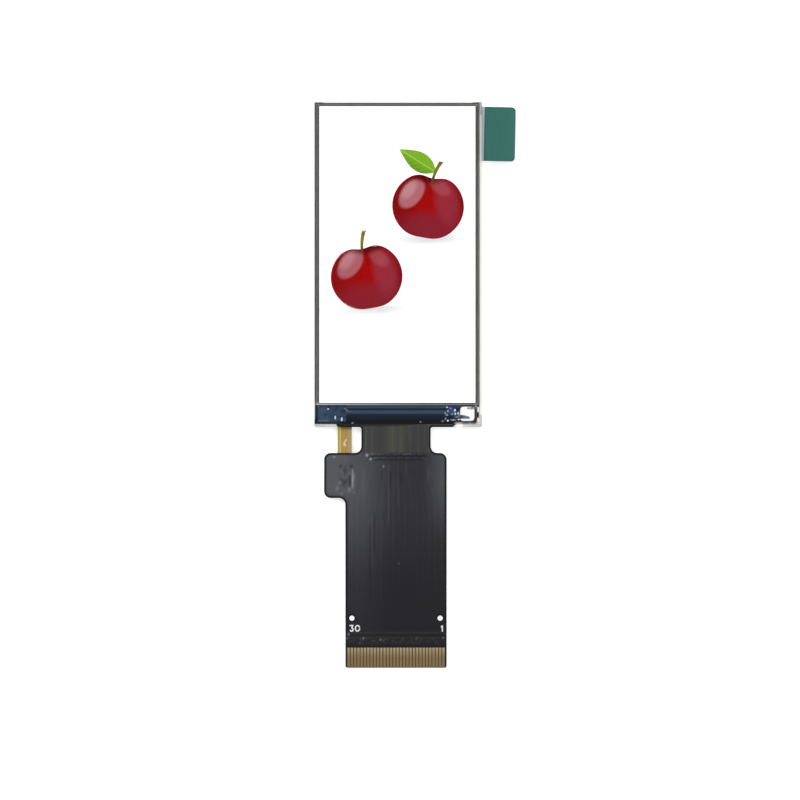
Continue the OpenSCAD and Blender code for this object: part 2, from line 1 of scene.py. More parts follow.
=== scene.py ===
import math
import bpy
import numpy as np
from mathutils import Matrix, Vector


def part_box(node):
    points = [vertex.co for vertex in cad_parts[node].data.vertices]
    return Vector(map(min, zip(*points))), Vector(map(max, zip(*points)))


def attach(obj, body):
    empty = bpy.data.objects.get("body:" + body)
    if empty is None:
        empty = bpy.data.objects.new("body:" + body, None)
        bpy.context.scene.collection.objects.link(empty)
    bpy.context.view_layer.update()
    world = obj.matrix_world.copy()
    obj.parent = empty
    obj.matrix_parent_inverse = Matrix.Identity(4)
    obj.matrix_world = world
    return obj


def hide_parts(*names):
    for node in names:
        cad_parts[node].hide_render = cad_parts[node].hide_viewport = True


# Dresses a small colour display module: a lit glass cell in a thin moulded frame, blue resin over
# the driver chip on the glass ledge, and a black flex tail. +X is to the picture's right, +Y to its
# top, +Z out of the screen. Lengths are millimetres up to the point where a mesh is made.

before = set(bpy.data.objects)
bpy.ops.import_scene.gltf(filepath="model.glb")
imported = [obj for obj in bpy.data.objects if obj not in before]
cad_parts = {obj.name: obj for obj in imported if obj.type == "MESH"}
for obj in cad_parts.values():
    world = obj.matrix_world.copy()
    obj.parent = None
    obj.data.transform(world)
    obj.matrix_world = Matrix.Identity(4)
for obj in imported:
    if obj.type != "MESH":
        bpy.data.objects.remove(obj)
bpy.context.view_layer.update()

MM = 0.001


def box_mm(node):
    """Lowest and highest corner of a CAD node, in millimetres."""
    low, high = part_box(node)
    return np.array(low) / MM, np.array(high) / MM


# ---- sizes taken from the solids ----

(FRAME_X0, FRAME_Y0, _), (FRAME_X1, _, _) = box_mm("backlight_frame")
(CHIP_X0, CHIP_Y0, _), (CHIP_X1, CHIP_Y1, CHIP_TOP) = box_mm("driver_chip")
(COAT_X0, COAT_Y0, GLASS_TOP), (COAT_X1, COAT_Y1, COAT_TOP) = box_mm("ledge_coating")
(HEAD_X0, _, _), (HEAD_X1, HEAD_Y1, BASE_UNDER) = box_mm("flex_bond_film")
(LUG_X0, COVER_Y0, _), (_, COVER_Y1, HEAD_TOP) = box_mm("flex_cover_film")
(STRIP_X0, END_Y, _), (STRIP_X1, LANDING_Y, STIFFENER_TOP) = box_mm("contact_stiffener")
(LIT_X0, LIT_Y0, _), (LIT_X1, LIT_Y1, _) = box_mm("lit_field")
TAB_X0 = box_mm("pull_tab")[0][0]
STRIP_CX = (STRIP_X0 + STRIP_X1) / 2

# ---- sizes that repeat the source's ----

COVER_T = 0.03
BASE_T = 0.06
HEAD_BEVEL = (0.6, 0.45)
NECK_W = 10.6
NECK_R = 0.3
FLEX_R = 1.0
SHOULDER_Y = FRAME_Y0 - 3.95
LUG_Y = SHOULDER_Y - 6.9
HOLE_R = 0.4
HOLE_IN = 1.0
HOLE_UP = 7.6
COAT_R = 0.7
TAIL_MIDDLE = -8.15
LIGHTS = 4
FRUIT_STEP = np.array([4.7, 5.4])
FRUIT_R = 5.5
PICTURE_MIDDLE = np.array([(LIT_X0 + LIT_X1) / 2, (LIT_Y0 + LIT_Y1) / 2 + 2.0])
LEAF_BASE = PICTURE_MIDDLE + FRUIT_STEP + (1.175, 5.227)
LEAF_TURN = 148

# Beyond every edge of the frame, for a limit that stays open
FAR = 30


# ---- shapes ----

def smooth(t):
    """3t^2 - 2t^3, held at 0 and 1 outside."""
    t = np.clip(t, 0, 1)
    return t * t * (3 - 2 * t)


def ridge(x, centre, width):
    """A bell across a line: e to the minus squared distance over the width."""
    return np.exp(-((x - centre) / width) ** 2)


def eased(y, knots, spread=0.07):
    """Heights at knots, joined straight and then rounded: the mean over a bell around each y."""
    places, heights = np.array(knots).T
    taps = np.linspace(-2, 2, 17)
    weights = np.exp(-taps ** 2)
    samples = np.interp(y[:, None] + taps * spread, places[::-1], heights[::-1])
    return samples @ weights / weights.sum()


def flex_height(y):
    """Top of the base film: level on the glass, then the sag of a strip held level at both ends."""
    t = (FRAME_Y0 - y) / (FRAME_Y0 - LANDING_Y)
    drop = BASE_UNDER - STIFFENER_TOP - COVER_T
    return BASE_UNDER + BASE_T - drop * smooth(t)


def arc(cx, cy, r, start, end, steps=10):
    """Points on a circle between two angles in degrees."""
    a = np.radians(np.linspace(start, end, steps + 1))
    return np.column_stack([cx + r * np.cos(a), cy + r * np.sin(a)])


def rounded(x0, y0, x1, y1, r):
    """Rectangle with quarter circles at its corners."""
    return np.vstack([arc(x1 - r, y1 - r, r, 0, 90), arc(x0 + r, y1 - r, r, 90, 180),
                      arc(x0 + r, y0 + r, r, 180, 270), arc(x1 - r, y0 + r, r, 270, 360)])


def lines(start, end, step, edges=()):
    """Grid lines about a step apart, with one exactly at each edge."""
    marks_and_shading = np.unique(np.concatenate([[start, end], [e for e in edges if start < e < end]]))
    runs = [np.linspace(a, b, max(2, int(round((b - a) / step)) + 1))
            for a, b in zip(marks_and_shading[:-1], marks_and_shading[1:])]
    return np.unique(np.round(np.concatenate(runs), 6))


def step_lines(edges, width=0.002):
    """Each edge as a pair of lines, for a wall that stands between them."""
    return [e + way * width / 2 for e in edges for way in (-1, 1)]


def to_outline(points, outline, holes=()):
    """Distance inside a closed outline with round holes, and the nearest point of its edge.

    For each straight side the foot of the perpendicular is kept within the side's ends; the
    nearest foot wins. Inside is told by the odd number of crossings to the right.
    """
    best = np.full(len(points), np.inf)
    nearest = points.copy()
    inside = np.zeros(len(points), bool)
    for p, q in zip(outline, np.roll(outline, -1, axis=0)):
        side = q - p
        t = np.clip((points - p) @ side / max(side @ side, 1e-12), 0, 1)
        foot = p + t[:, None] * side
        d = np.hypot(*(points - foot).T)
        near = d < best
        best[near], nearest[near] = d[near], foot[near]
        spans = (p[1] > points[:, 1]) != (q[1] > points[:, 1])
        with np.errstate(divide="ignore", invalid="ignore"):
            crossing = p[0] + (points[:, 1] - p[1]) * side[0] / side[1]
        inside ^= spans & (points[:, 0] < crossing)
    signed = np.where(inside, best, -best)
    for centre, r in holes:
        away = points - centre
        reach = np.maximum(np.hypot(*away.T), 1e-9)
        near = reach - r < signed
        signed[near] = (reach - r)[near]
        nearest[near] = (centre + away / reach[:, None] * r)[near]
    return signed, nearest


def cut_grid(xs, ys, outline, holes=()):
    """A grid cut to an outline.

    Points within half a step of the edge move onto it. A square with all four points inside is
    kept, and one with three becomes a triangle. Gives the points, the distance of each from the
    edge, and the faces as rows of four, with the last repeated in a triangle.
    """
    gx, gy = np.meshgrid(xs, ys, indexing="ij")
    points = np.column_stack([gx.ravel(), gy.ravel()])
    signed, nearest = to_outline(points, outline, holes)
    close = np.abs(signed) < 0.5 * min(np.median(np.diff(xs)), np.median(np.diff(ys)))
    points[close] = nearest[close]
    inside = close | (signed > 0)
    i = np.arange(gx.size).reshape(gx.shape)
    cells = np.stack([i[:-1, :-1], i[1:, :-1], i[1:, 1:], i[:-1, 1:]], axis=-1).reshape(-1, 4)
    count = inside[cells].sum(axis=1)
    quads = cells[count == 4]
    three = cells[count == 3]
    out = np.argmin(inside[three], axis=1)
    turned = np.take_along_axis(three, (out[:, None] + np.arange(1, 4)) % 4, axis=1)
    triangles = np.column_stack([turned, turned[:, 2]])
    distance = np.where(close, 0, signed)
    return points, distance, np.vstack([quads, triangles])


def make_piece(name, vertices, faces, material, sharp=35):
    """A closed mesh in metres from points in millimetres, smooth up to an angle, on the body.

    Points that no face uses are left out. Gives the piece and the numbers of the points kept.
    """
    used, faces_flat = np.unique(np.concatenate([np.ravel(f) for f in faces]), return_inverse=True)
    shapes, start = [], 0
    for f in faces:
        size = np.size(f)
        shapes += faces_flat[start:start + size].reshape(np.shape(f)).tolist()
        start += size
    mesh = bpy.data.meshes.new(name)
    mesh.from_pydata((vertices[used] * MM).tolist(), [], shapes)
    mesh.polygons.foreach_set("use_smooth", np.ones(len(mesh.polygons), bool))
    mesh.set_sharp_from_angle(angle=math.radians(sharp))
    mesh.materials.append(material)
    mesh.update()
    piece = bpy.data.objects.new(name, mesh)
    bpy.context.collection.objects.link(piece)
    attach(piece, "root")
    return piece, used


def slab(name, grid, top, bottom, material, tones):
    """A thin solid between two height fields on one cut grid.

    Every edge that only one face uses gets a wall from the top field down to the bottom one.
    The four tones are values at the points, kept as a colour attribute for the material.
    """
    points, _, faces = grid
    n = len(points)
    triangle = faces[:, 2] == faces[:, 3]
    quads, triangles = faces[~triangle], faces[triangle][:, :3]
    edges = np.vstack([np.stack([f, np.roll(f, -1, axis=1)], axis=-1).reshape(-1, 2)
                       for f in (quads, triangles) if len(f)])
    rim = edges[~np.isin(edges[:, 0] * n + edges[:, 1], edges[:, 1] * n + edges[:, 0])]
    walls = np.column_stack([rim[:, 1], rim[:, 0], rim[:, 0] + n, rim[:, 1] + n])
    vertices = np.vstack([np.column_stack([points, top]), np.column_stack([points, bottom])])
    piece, used = make_piece(
        name, vertices, [quads, triangles, quads[:, ::-1] + n, triangles[:, ::-1] + n, walls],
        material)
    layer = piece.data.color_attributes.new("tones", "FLOAT_COLOR", "POINT")
    rgba = np.clip(np.column_stack([np.tile(tone, 2) for tone in tones]), 0, 1)
    layer.data.foreach_set("color", rgba[used].ravel().astype(np.float32))
    return piece


# ---- materials ----

def linear(code):
    """sRGB hex to linear colour."""
    c = np.array([int(code[i:i + 2], 16) for i in (1, 3, 5)]) / 255
    c = np.where(c <= 0.04045, c / 12.92, ((c + 0.055) / 1.055) ** 2.4)
    return (*c.tolist(), 1.0)


def feed(node, inputs):
    """Sets a node's inputs, or links each from a socket or from a node's first output."""
    for key, value in inputs.items():
        if isinstance(value, bpy.types.Node):
            value = value.outputs[0]
        if isinstance(value, bpy.types.NodeSocket):
            node.id_data.links.new(value, node.inputs[key])
        else:
            node.inputs[key].default_value = value
    return node


def add(tree, kind, inputs=None, **settings):
    """Adds a node with its settings and feeds its inputs; gives the node."""
    node = tree.nodes.new(kind)
    for key, value in settings.items():
        setattr(node, key, value)
    return feed(node, inputs or {})


def over(tree, colour, *layers):
    """A colour with others laid over it in turn, each by a share; they may be sRGB hex."""
    for share, layer in layers:
        layer = linear(layer) if isinstance(layer, str) else layer
        colour = add(tree, "ShaderNodeMix", {0: share, 6: colour, 7: layer},
                     data_type="RGBA").outputs[2]
    return colour


def finish(name, first, second, patch, roughness, rise=0.0, grain=0.1, stretch=(1, 1, 1), **shader):
    """A material whose tone drifts between two colours in patches of a size in millimetres.

    Its roughness drifts with the tone, and a fine grain stands up by rise. Other settings go
    straight onto the shader's sockets.
    """
    material = bpy.data.materials.new(name)
    material.use_nodes = True
    material.surface_render_method = "DITHERED"
    tree = material.node_tree
    principled = tree.nodes["Principled BSDF"]
    place = add(tree, "ShaderNodeTexCoord").outputs["Object"]
    place = add(tree, "ShaderNodeMapping", {"Vector": place, "Scale": stretch})
    drift = add(tree, "ShaderNodeTexNoise", {"Vector": place, "Scale": 1 / (patch * MM),
                                             "Detail": 3.0, "Roughness": 0.6})
    colour = over(tree, linear(first), (drift, second))
    rough = add(tree, "ShaderNodeMapRange", {"Value": drift, "To Min": roughness * 0.85,
                                             "To Max": roughness * 1.15})
    feed(principled, {"Base Color": colour, "Roughness": rough})
    if rise:
        fine = add(tree, "ShaderNodeTexNoise", {"Vector": place, "Scale": 1 / (grain * MM),
                                                "Detail": 2.0})
        feed(principled, {"Normal": add(tree, "ShaderNodeBump", {"Height": fine, "Strength": 1.0,
                                                                 "Distance": rise * MM})})
    feed(principled, {socket.replace("_", " "): value for socket, value in shader.items()})
    return material, tree, principled, colour


def in_mm(tree, centre=(0, 0), turn=0.0, size=(1, 1)):
    """Place on the piece about a centre, turned by degrees.

    X and Y are in millimetres over a size, and Z is in metres.
    """
    place = add(tree, "ShaderNodeTexCoord").outputs["Object"]
    return add(tree, "ShaderNodeMapping",
               {"Vector": place, "Location": (centre[0] * MM, centre[1] * MM, 0),
                "Rotation": (0, 0, math.radians(turn)), "Scale": (size[0] * MM, size[1] * MM, 1)},
               vector_type="TEXTURE")


def axes(tree, centre=(0, 0), turn=0.0):
    """X and Y in millimetres about a centre, turned by degrees, and Z in metres."""
    return list(add(tree, "ShaderNodeSeparateXYZ", {0: in_mm(tree, centre, turn)}).outputs)


def spot(tree, centre, size, turn=0.0, soft=0.4, strength=1.0):
    """1 inside an ellipse, 0 outside, over a soft edge: the length of the scaled place."""
    place = in_mm(tree, centre, turn, size)
    reach = add(tree, "ShaderNodeVectorMath", {0: place}, operation="LENGTH").outputs["Value"]
    return add(tree, "ShaderNodeMapRange",
               {"Value": reach, "From Min": 1 + soft, "From Max": 1 - soft, "To Max": strength},
               interpolation_type="SMOOTHSTEP")


def between(tree, value, low, high, soft):
    """1 where a value lies between two limits, with soft ends: a rise times a fall."""
    up, down = [add(tree, "ShaderNodeMapRange",
                    {"Value": value, "From Min": limit - run, "From Max": limit + run},
                    interpolation_type="SMOOTHSTEP")
                for limit, run in ((low, soft), (high, -soft))]
    return add(tree, "ShaderNodeMath", {0: up, 1: down}, operation="MULTIPLY")


def field(tree, x_limits, y_limits, x_soft, y_soft, centre=(0, 0), turn=0.0):
    """1 inside a rectangle about a centre, turned by degrees, with soft edges."""
    x, y, _ = axes(tree, centre, turn)
    return add(tree, "ShaderNodeMath", {0: between(tree, x, *x_limits, x_soft),
                                        1: between(tree, y, *y_limits, y_soft)},
               operation="MULTIPLY")


def slab_tones(tree):
    """The four tones that a slab keeps at its points."""
    tones = add(tree, "ShaderNodeVertexColor", layer_name="tones")
    return [*add(tree, "ShaderNodeSeparateColor", {0: tones}).outputs, tones.outputs[1]]


def wear(node, material):
    """Gives a CAD node its material in each of its slots."""
    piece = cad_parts[node]
    if not piece.material_slots:
        piece.data.materials.append(material)
    for slot in piece.material_slots:
        slot.material = material


# Polycarbonate, injection moulded: satin white, a little warmer where the wall is thick
white_plastic, tree, shader, colour = finish("moulded_polycarbonate", "#f6f6f4", "#f1f1ef", 1.5,
                                             0.38, rise=0.002, grain=0.15)
across, along, level = axes(tree)
thick_wall = between(tree, across, 12.0, 14.0, 0.3)
# The frame's low end, beside the glass ledge, is painted grey: painted shade
shaded_low_end = between(tree, along, -FAR, FRAME_Y0 + 0.5, 0.1)
# The tops of the corner stops are painted grey as shade, darkest at the top end
stops = add(tree, "ShaderNodeMapRange", {"Value": level, "From Min": 1.2 * MM,
                                         "From Max": 1.28 * MM, "To Max": 0.8})
high_end = add(tree, "ShaderNodeMapRange", {"Value": along, "From Min": -10, "From Max": 10})
painted_stop_shade = over(tree, linear("#c2c3c2"), (high_end, "#a3a3a2"))
# The rim of the left wall is painted grey: painted shade along its top
wall_top = add(tree, "ShaderNodeMapRange", {"Value": level, "From Min": 0.9 * MM,
                                            "From Max": 1.0 * MM, "To Max": 0.85})
left_wall = between(tree, across, -FAR, FRAME_X0 + 0.24, 0.03)
shaded_left_rim = add(tree, "ShaderNodeMath", {0: wall_top, 1: left_wall}, operation="MULTIPLY")
# A near-black patch is painted on the wall at the low left corner
low_left_dark = field(tree, (FRAME_X0 + 0.16, FRAME_X0 + 1), (FRAME_Y0 + 0.46, FRAME_Y0 + 1.2), 0.06, 0.06)
# A painted highlight on the wall below the resin's right end
wall_highlight = spot(tree, (9.3, FRAME_Y0 + 0.3), (0.7, 0.32), 0, 0.3)
feed(shader, {"Base Color": over(
    tree, colour, (thick_wall, "#f3f4ec"), (shaded_low_end, "#cfd0cc"), (stops, painted_stop_shade),
    (shaded_left_rim, "#d8d9d9"), (wall_highlight, "#ffffff"), (low_left_dark, "#2b2a2d"))})
wear("backlight_frame", white_plastic)

# White reflective polyester film, calendered: pearly and faintly streaked along its length
wear("reflector_sheet", finish("reflective_polyester", "#e4e6e8", "#d6dadd", 3.0, 0.28,
                               stretch=(3, 0.4, 1), Coat_Weight=0.3, Coat_Roughness=0.2)[0])

# Acrylic, moulded and polished: clear
wear("light_guide", finish("polished_acrylic", "#eef6fa", "#e6f0f5", 4.0, 0.08, IOR=1.49,
                           Alpha=0.4)[0])

# Frosted polyester film
wear("diffuser_sheet", finish("frosted_polyester", "#f4f5f6", "#eef0f2", 2.0, 0.6, rise=0.002,
                              grain=0.1)[0])

# Prism film: polyester with fine cast grooves, drawn at 0.15 mm so that they show
GROOVE_PITCH = 0.15
for node, way in (("lower_prism_sheet", "X"), ("upper_prism_sheet", "Y")):
    prism, tree, shader, _ = finish("prism_film_" + way, "#eef1f4", "#e2e8ee", 2.0, 0.35)
    grooves = add(tree, "ShaderNodeTexWave",
                  {"Vector": add(tree, "ShaderNodeTexCoord").outputs["Object"],
                   "Scale": 2 * math.pi / 20 / (GROOVE_PITCH * MM)}, bands_direction=way,
                  wave_profile="TRI")
    feed(shader, {"Normal": add(tree, "ShaderNodeBump", {"Height": grooves.outputs["Fac"],
                                                         "Distance": 0.02 * MM})})
    wear(node, prism)

# Black double-sided tape, die cut. Two spots beside the resin are painted white and given a painted
# glow, as highlights
rim_tape, tree, shader, colour = finish("black_rim_tape", "#1c1c1d", "#131314", 0.8, 0.6)
tape_highlights = add(tree, "ShaderNodeMath", {0: spot(tree, (12.26, -22.2), (0.19, 0.42), 0, 0.2),
                                    1: spot(tree, (12.25, -23.9), (0.19, 0.45), 0, 0.2)},
           operation="MAXIMUM")
painted_glow = add(tree, "ShaderNodeMath", {0: tape_highlights, 1: 0.4}, operation="MULTIPLY")
feed(shader, {"Base Color": over(tree, colour, (tape_highlights, "#f4f4f4")),
              "Emission Color": linear("#f8f8f8"), "Emission Strength": painted_glow})
wear("rim_tape", rim_tape)

# Polyimide over rolled copper: amber, with copper tracks that show as bands, given by their
# limits from the tail's middle. A worn pale mark lies on them: a slanting smear, and two short
# ones that cross below it, given by their turn, middle and reach
COPPER_TRACKS = ((-1.2, -0.86, "#a39f5a"), (-0.78, -0.56, "#bfb25a"), (-0.5, -0.35, "#9c8429"),
                 (-0.3, -0.04, "#b5853f"), (0.04, 0.2, "#94803e"), (0.3, 0.52, "#a78850"),
                 (0.62, 0.82, "#a0905c"), (0.92, 1.2, "#ab9a80"))
SMEARS = ((-30, (-8.1, -27.1), 0.42), (-34, (-8.15, -27.62), 0.24), (42, (-8.15, -27.62), 0.24))
amber_circuit, tree, shader, colour = finish("amber_polyimide_circuit", "#b09a55", "#a88f4c", 1.2,
                                             0.32, stretch=(4, 0.3, 1), Coat_Weight=0.4,
                                             Coat_Roughness=0.12)
across = axes(tree, (TAIL_MIDDLE, 0))[0]
colour = over(tree, colour, *((between(tree, across, low, high, 0.05), code)
                              for low, high, code in COPPER_TRACKS))
colour = over(tree, colour, *(
    (field(tree, (-0.09, 0.09), (-reach, reach), 0.08, 0.12, middle, turn), "#e3c8a4")
    for turn, middle, reach in SMEARS))
feed(shader, {"Base Color": colour})
wear("led_flex", amber_circuit)

# White paper-backed tape
wear("led_flex_tape", finish("white_tape", "#ededeb", "#e4e4e2", 1.0, 0.55)[0])

# Tin solder, reflowed: bright, softly lumpy
solder = finish("reflowed_solder", "#c3c5c8", "#a9abae", 0.4, 0.3, rise=0.01, grain=0.3,
                Metallic=1.0)[0]
wear("led_solder", solder)
wear("tail_solder", solder)

# Light housings: polyphthalamide, moulded; the lens is silicone with yellow phosphor
housing = finish("led_housing_ppa", "#f3f2ec", "#ebeae2", 0.8, 0.45)[0]
phosphor = finish("phosphor_silicone", "#e8cf55", "#dfc03e", 0.3, 0.35)[0]
for i in range(1, LIGHTS + 1):
    wear(f"led_{i}", housing)
    wear(f"phosphor_{i}", phosphor)


def clear_sheet(name, edge, ior, face_alpha, edge_alpha):
    """A thin clear sheet: its faces show only their gloss, its cut edges hold a tint."""
    material, tree, shader, _ = finish(name, edge, edge, 3.0, 0.05, IOR=ior)
    geometry = add(tree, "ShaderNodeNewGeometry")
    flat = geometry.outputs["True Normal"]
    facing = add(tree, "ShaderNodeSeparateXYZ", {0: flat}).outputs[2]
    level = add(tree, "ShaderNodeMath", {0: facing}, operation="ABSOLUTE")
    front = add(tree, "ShaderNodeMath", {0: 1.0, 1: geometry.outputs["Backfacing"]},
                operation="SUBTRACT")
    gloss = add(tree, "ShaderNodeFresnel", {"IOR": ior, "Normal": flat})
    gloss = add(tree, "ShaderNodeMath", {0: gloss, 1: front}, operation="MULTIPLY")
    face = add(tree, "ShaderNodeMapRange", {"Value": gloss, "From Min": 0.06, "To Min": face_alpha,
                                            "To Max": 0.8})
    alpha = add(tree, "ShaderNodeMapRange", {"Value": level, "To Min": edge_alpha, "To Max": face})
    colour = over(tree, linear(edge), (level, "#1b1d1e"))
    feed(shader, {"Normal": flat, "Base Color": colour, "Alpha": alpha})
    return material, tree, shader, colour, alpha


# Thin alkali-free glass, drawn: clear, faintly green at its edges
glass = clear_sheet("thin_display_glass", "#7f9a96", 1.52, 0.008, 0.25)[0]
wear("array_glass", glass)
wear("colour_filter_glass", glass)


def border_resin(name, first, second, roughness, painted_side_glow):
    """The border's resin, with painted light: a pale, glowing band below the picture and a grey
    glow along its sides.
    """
    material, tree, shader, colour = finish(name, first, second, 0.5, roughness)
    across, along, _ = axes(tree)
    run = add(tree, "ShaderNodeMapRange", {"Value": across, "From Min": LIT_X0, "From Max": 4.0})
    low = between(tree, along, -FAR, LIT_Y0, 0.03)
    pale = over(tree, linear("#a9b3b6"), (run, "#80817c"))
    painted_low_glow = add(tree, "ShaderNodeMapRange", {"Value": run, "To Min": 0.13, "To Max": 0.03})
    painted_low_glow = add(tree, "ShaderNodeMath", {0: painted_low_glow, 1: low}, operation="MULTIPLY")
    screen = between(tree, across, LIT_X0, LIT_X1, 0.02)
    side = add(tree, "ShaderNodeMath", {0: 1.0, 1: screen}, operation="SUBTRACT")
    painted_glow = add(tree, "ShaderNodeMath", {0: side, 1: painted_side_glow}, operation="MULTIPLY")
    painted_glow = add(tree, "ShaderNodeMath", {0: painted_glow, 1: painted_low_glow}, operation="MAXIMUM")
    feed(shader, {"Base Color": over(tree, colour, (low, pale)),
                  "Emission Color": linear("#f6f7f2"), "Emission Strength": painted_glow})
    return material


# Cured epoxy seal and black resin mask, both given a painted glow over the backlight
wear("cell_seal", border_resin("epoxy_cell_seal", "#7c7d79", "#747571", 0.4, 0.055))
wear("black_matrix", border_resin("black_mask_resin", "#7a7c78", "#727470", 0.35, 0.09))

# Upper polariser with its hard coat: nearly clear over a lit picture
wear("upper_polariser", clear_sheet("hard_coated_polariser", "#5d6164", 1.5, 0.01, 0.3)[0])

# Polyester protective film: clear and glossy; adhesive greys the ear under the pull tab
film, tree, shader, colour, alpha = clear_sheet("clear_polyester_film", "#c9d3ce", 1.57, 0.012, 0.2)
ear = between(tree, axes(tree)[0], FRAME_X1 - 0.1, FAR, 0.08)
greyed = add(tree, "ShaderNodeMath", {0: ear, 1: 0.6}, operation="MULTIPLY")
feed(shader, {"Base Color": over(tree, colour, (ear, "#9dada5")),
              "Alpha": add(tree, "ShaderNodeMath", {0: alpha, 1: greyed}, operation="MAXIMUM")})
wear("protective_film", film)

# Polyester tape, coated green: satin, with faint coating streaks, darker where the film lies
# under it
green_tape, tree, shader, colour = finish("green_polyester_tape", "#286a60", "#236359", 1.6, 0.42,
                                          rise=0.0015, grain=0.2, stretch=(2.5, 0.5, 1))
on_film = between(tree, axes(tree)[0], TAB_X0 - 1, TAB_X0 + 0.26, 0.1)
feed(shader, {"Base Color": over(tree, colour, (on_film, "#1c5147"))})
wear("pull_tab", green_tape)

# Silicon, ground on its back: dark steel grey, finely scratched across
wear("driver_chip", finish("ground_silicon", "#343a42", "#2b3038", 0.6, 0.3, rise=0.001,
                           grain=0.05, stretch=(0.2, 2, 1), Metallic=0.6)[0])

# Anisotropic conductive film, cured
bond = finish("conductive_bond_film", "#8d8668", "#7f7859", 0.4, 0.5)[0]
wear("chip_bond_film", bond)
wear("flex_bond_film", bond)

# Polyimide base film with the black cover film behind it: dark amber between black margins
base_film, tree, shader, colour = finish("polyimide_base_film", "#53401f", "#49371c", 0.6, 0.35)
bare_film = between(tree, axes(tree)[0], STRIP_X0 + 0.24, STRIP_X1 - 0.26, 0.03)
feed(shader, {"Base Color": over(tree, linear("#1c1c1e"), (bare_film, colour))})
wear("flex_base_film", base_film)
wear("flex_back_film", finish("black_cover_film_back", "#2b2a2e", "#242327", 2.5, 0.36, rise=0.001,
                              grain=0.25)[0])
wear("contact_stiffener", finish("polyimide_stiffener", "#26262a", "#202024", 1.5, 0.5,
                                 rise=0.002, grain=0.2)[0])

# Hard gold over nickel, plated: satin, brushed lightly along the fingers by test sockets, with a
# painted highlight that brightens them towards their upper ends
gold, tree, shader, colour = finish("plated_gold", "#c8b088", "#a48c61", 0.5, 0.34, rise=0.002,
                                    grain=0.06, stretch=(1, 0.05, 1), Metallic=1.0)
finger_highlight = add(tree, "ShaderNodeMapRange", {"Value": axes(tree)[1], "From Min": END_Y + 1.6,
                                        "From Max": END_Y + 3.1})
feed(shader, {"Base Color": over(tree, colour, (finger_highlight, "#e9d6b0"))})
wear("contact_fingers", gold)


# ---- the lit picture: soft-edged fields of colour ----

def lit(name, first, second, patch, strength, paint):
    """A field of the lit picture: dark when off, and it shines in its own painted colour."""
    material, tree, shader, colour = finish(name, first, second, patch, 0.5, Specular_IOR_Level=0.0)
    tree.links.remove(shader.inputs["Base Color"].links[0])
    feed(shader, {"Base Color": linear("#101010"), "Emission Strength": strength,
                  "Emission Color": over(tree, colour, *paint(tree))})
    return material


def fruit_middles():
    """Each fruit's side, -1 low left and 1 high right, with its middle."""
    return [(side, PICTURE_MIDDLE + side * FRUIT_STEP) for side in (-1, 1)]


def white_paint(tree):
    """Soft grey shadows at the fruits' feet."""
    foot = (0.6, 0.15 - 0.93 * FRUIT_R)
    return [(spot(tree, middle + foot, (5.2, 0.85), 2, 0.95, 0.75), "#b9b9bb")
            for _, middle in fruit_middles()]


def fruit_paint(tree):
    """A pale window on the shoulder, a broad sheen, a darker foot and a hollow at the stalk.

    Each is a spot: place from the fruit's middle, half widths, turn, softness, share, colour.
    """
    layers = []
    for side, middle in fruit_middles():
        for offset, size, turn, soft, strength, code in (
                ((0.5, 0.2), (2.9, 3.0), 0, 0.75, 0.9, "#a80a08"),
                ((0.2, -3.3), (4.4, 2.2), 0, 0.5, 0.8, "#8a2634"),
                ((2.9, 0.6), (1.7, 3.4), 12, 0.45, 0.75, "#9a3242"),
                ((1.9, 2.9), (1.7, 1.0), -38, 0.35, 0.45, "#b65a62"),
                ((-2.5, 1.9), (1.5, 2.5), -38, 0.16, 0.72, "#c07d86"),
                ((-2.9, 2.5), (0.8, 1.5), -38, 0.5, 0.5, "#d3a0a6"),
                ((0, 4.6), (2.2, 1.0), -side * 10, 0.5, 0.8, "#4d080c")):
            layers.append((spot(tree, middle + offset, size, turn, soft, strength), code))
    return layers


def stalk_paint(tree):
    """Brown at the cut end, dark where the stalk leaves the fruit."""
    layers = []
    for side, middle in fruit_middles():
        cut_end, root = middle + (side * 1.2 + 0.7, 6.9), middle + (side * 0.7, 4.0)
        layers += [(spot(tree, cut_end, (0.9, 0.5), 0, 0.5, 0.9), "#8a4a22"),
                   (spot(tree, root, (0.7, 0.6), 0, 0.6, 0.8), "#4a3516")]
    return layers


def leaf_paint(tree):
    """A darker lower half, side veins that leave the midrib at a slant, and a pale midrib."""
    along, across, _ = axes(tree, LEAF_BASE, LEAF_TURN)
    off_rib = add(tree, "ShaderNodeMath", {0: across}, operation="ABSOLUTE")
    slant = add(tree, "ShaderNodeMath", {0: along, 1: off_rib}, operation="SUBTRACT")
    phase = add(tree, "ShaderNodeMath", {0: slant, 1: 2 * math.pi / 0.85}, operation="MULTIPLY")
    wave = add(tree, "ShaderNodeMath", {0: phase}, operation="SINE")
    veins = add(tree, "ShaderNodeMapRange", {"Value": wave, "From Min": 0.6, "To Max": 0.35})
    below = add(tree, "ShaderNodeMapRange", {"Value": across, "From Min": -0.15, "From Max": 1.2,
                                             "To Max": 0.75})
    return [(below, "#5a9120"), (veins, "#9aca4c"),
            (between(tree, across, -0.07, 0.07, 0.06), "#a9d45c")]


wear("lit_field", lit("lit_white_field", "#ffffff", "#ffffff", 5.0, 1.3, white_paint))
wear("picture_fruits", lit("lit_fruit_skin", "#8f0d10", "#7f0b10", 1.2, 1.0, fruit_paint))
wear("picture_stalks", lit("lit_stalk", "#86802f", "#7b7429", 0.5, 1.0, stalk_paint))
wear("picture_leaf", lit("lit_leaf", "#86bb2c", "#79ae26", 0.8, 1.0, leaf_paint))

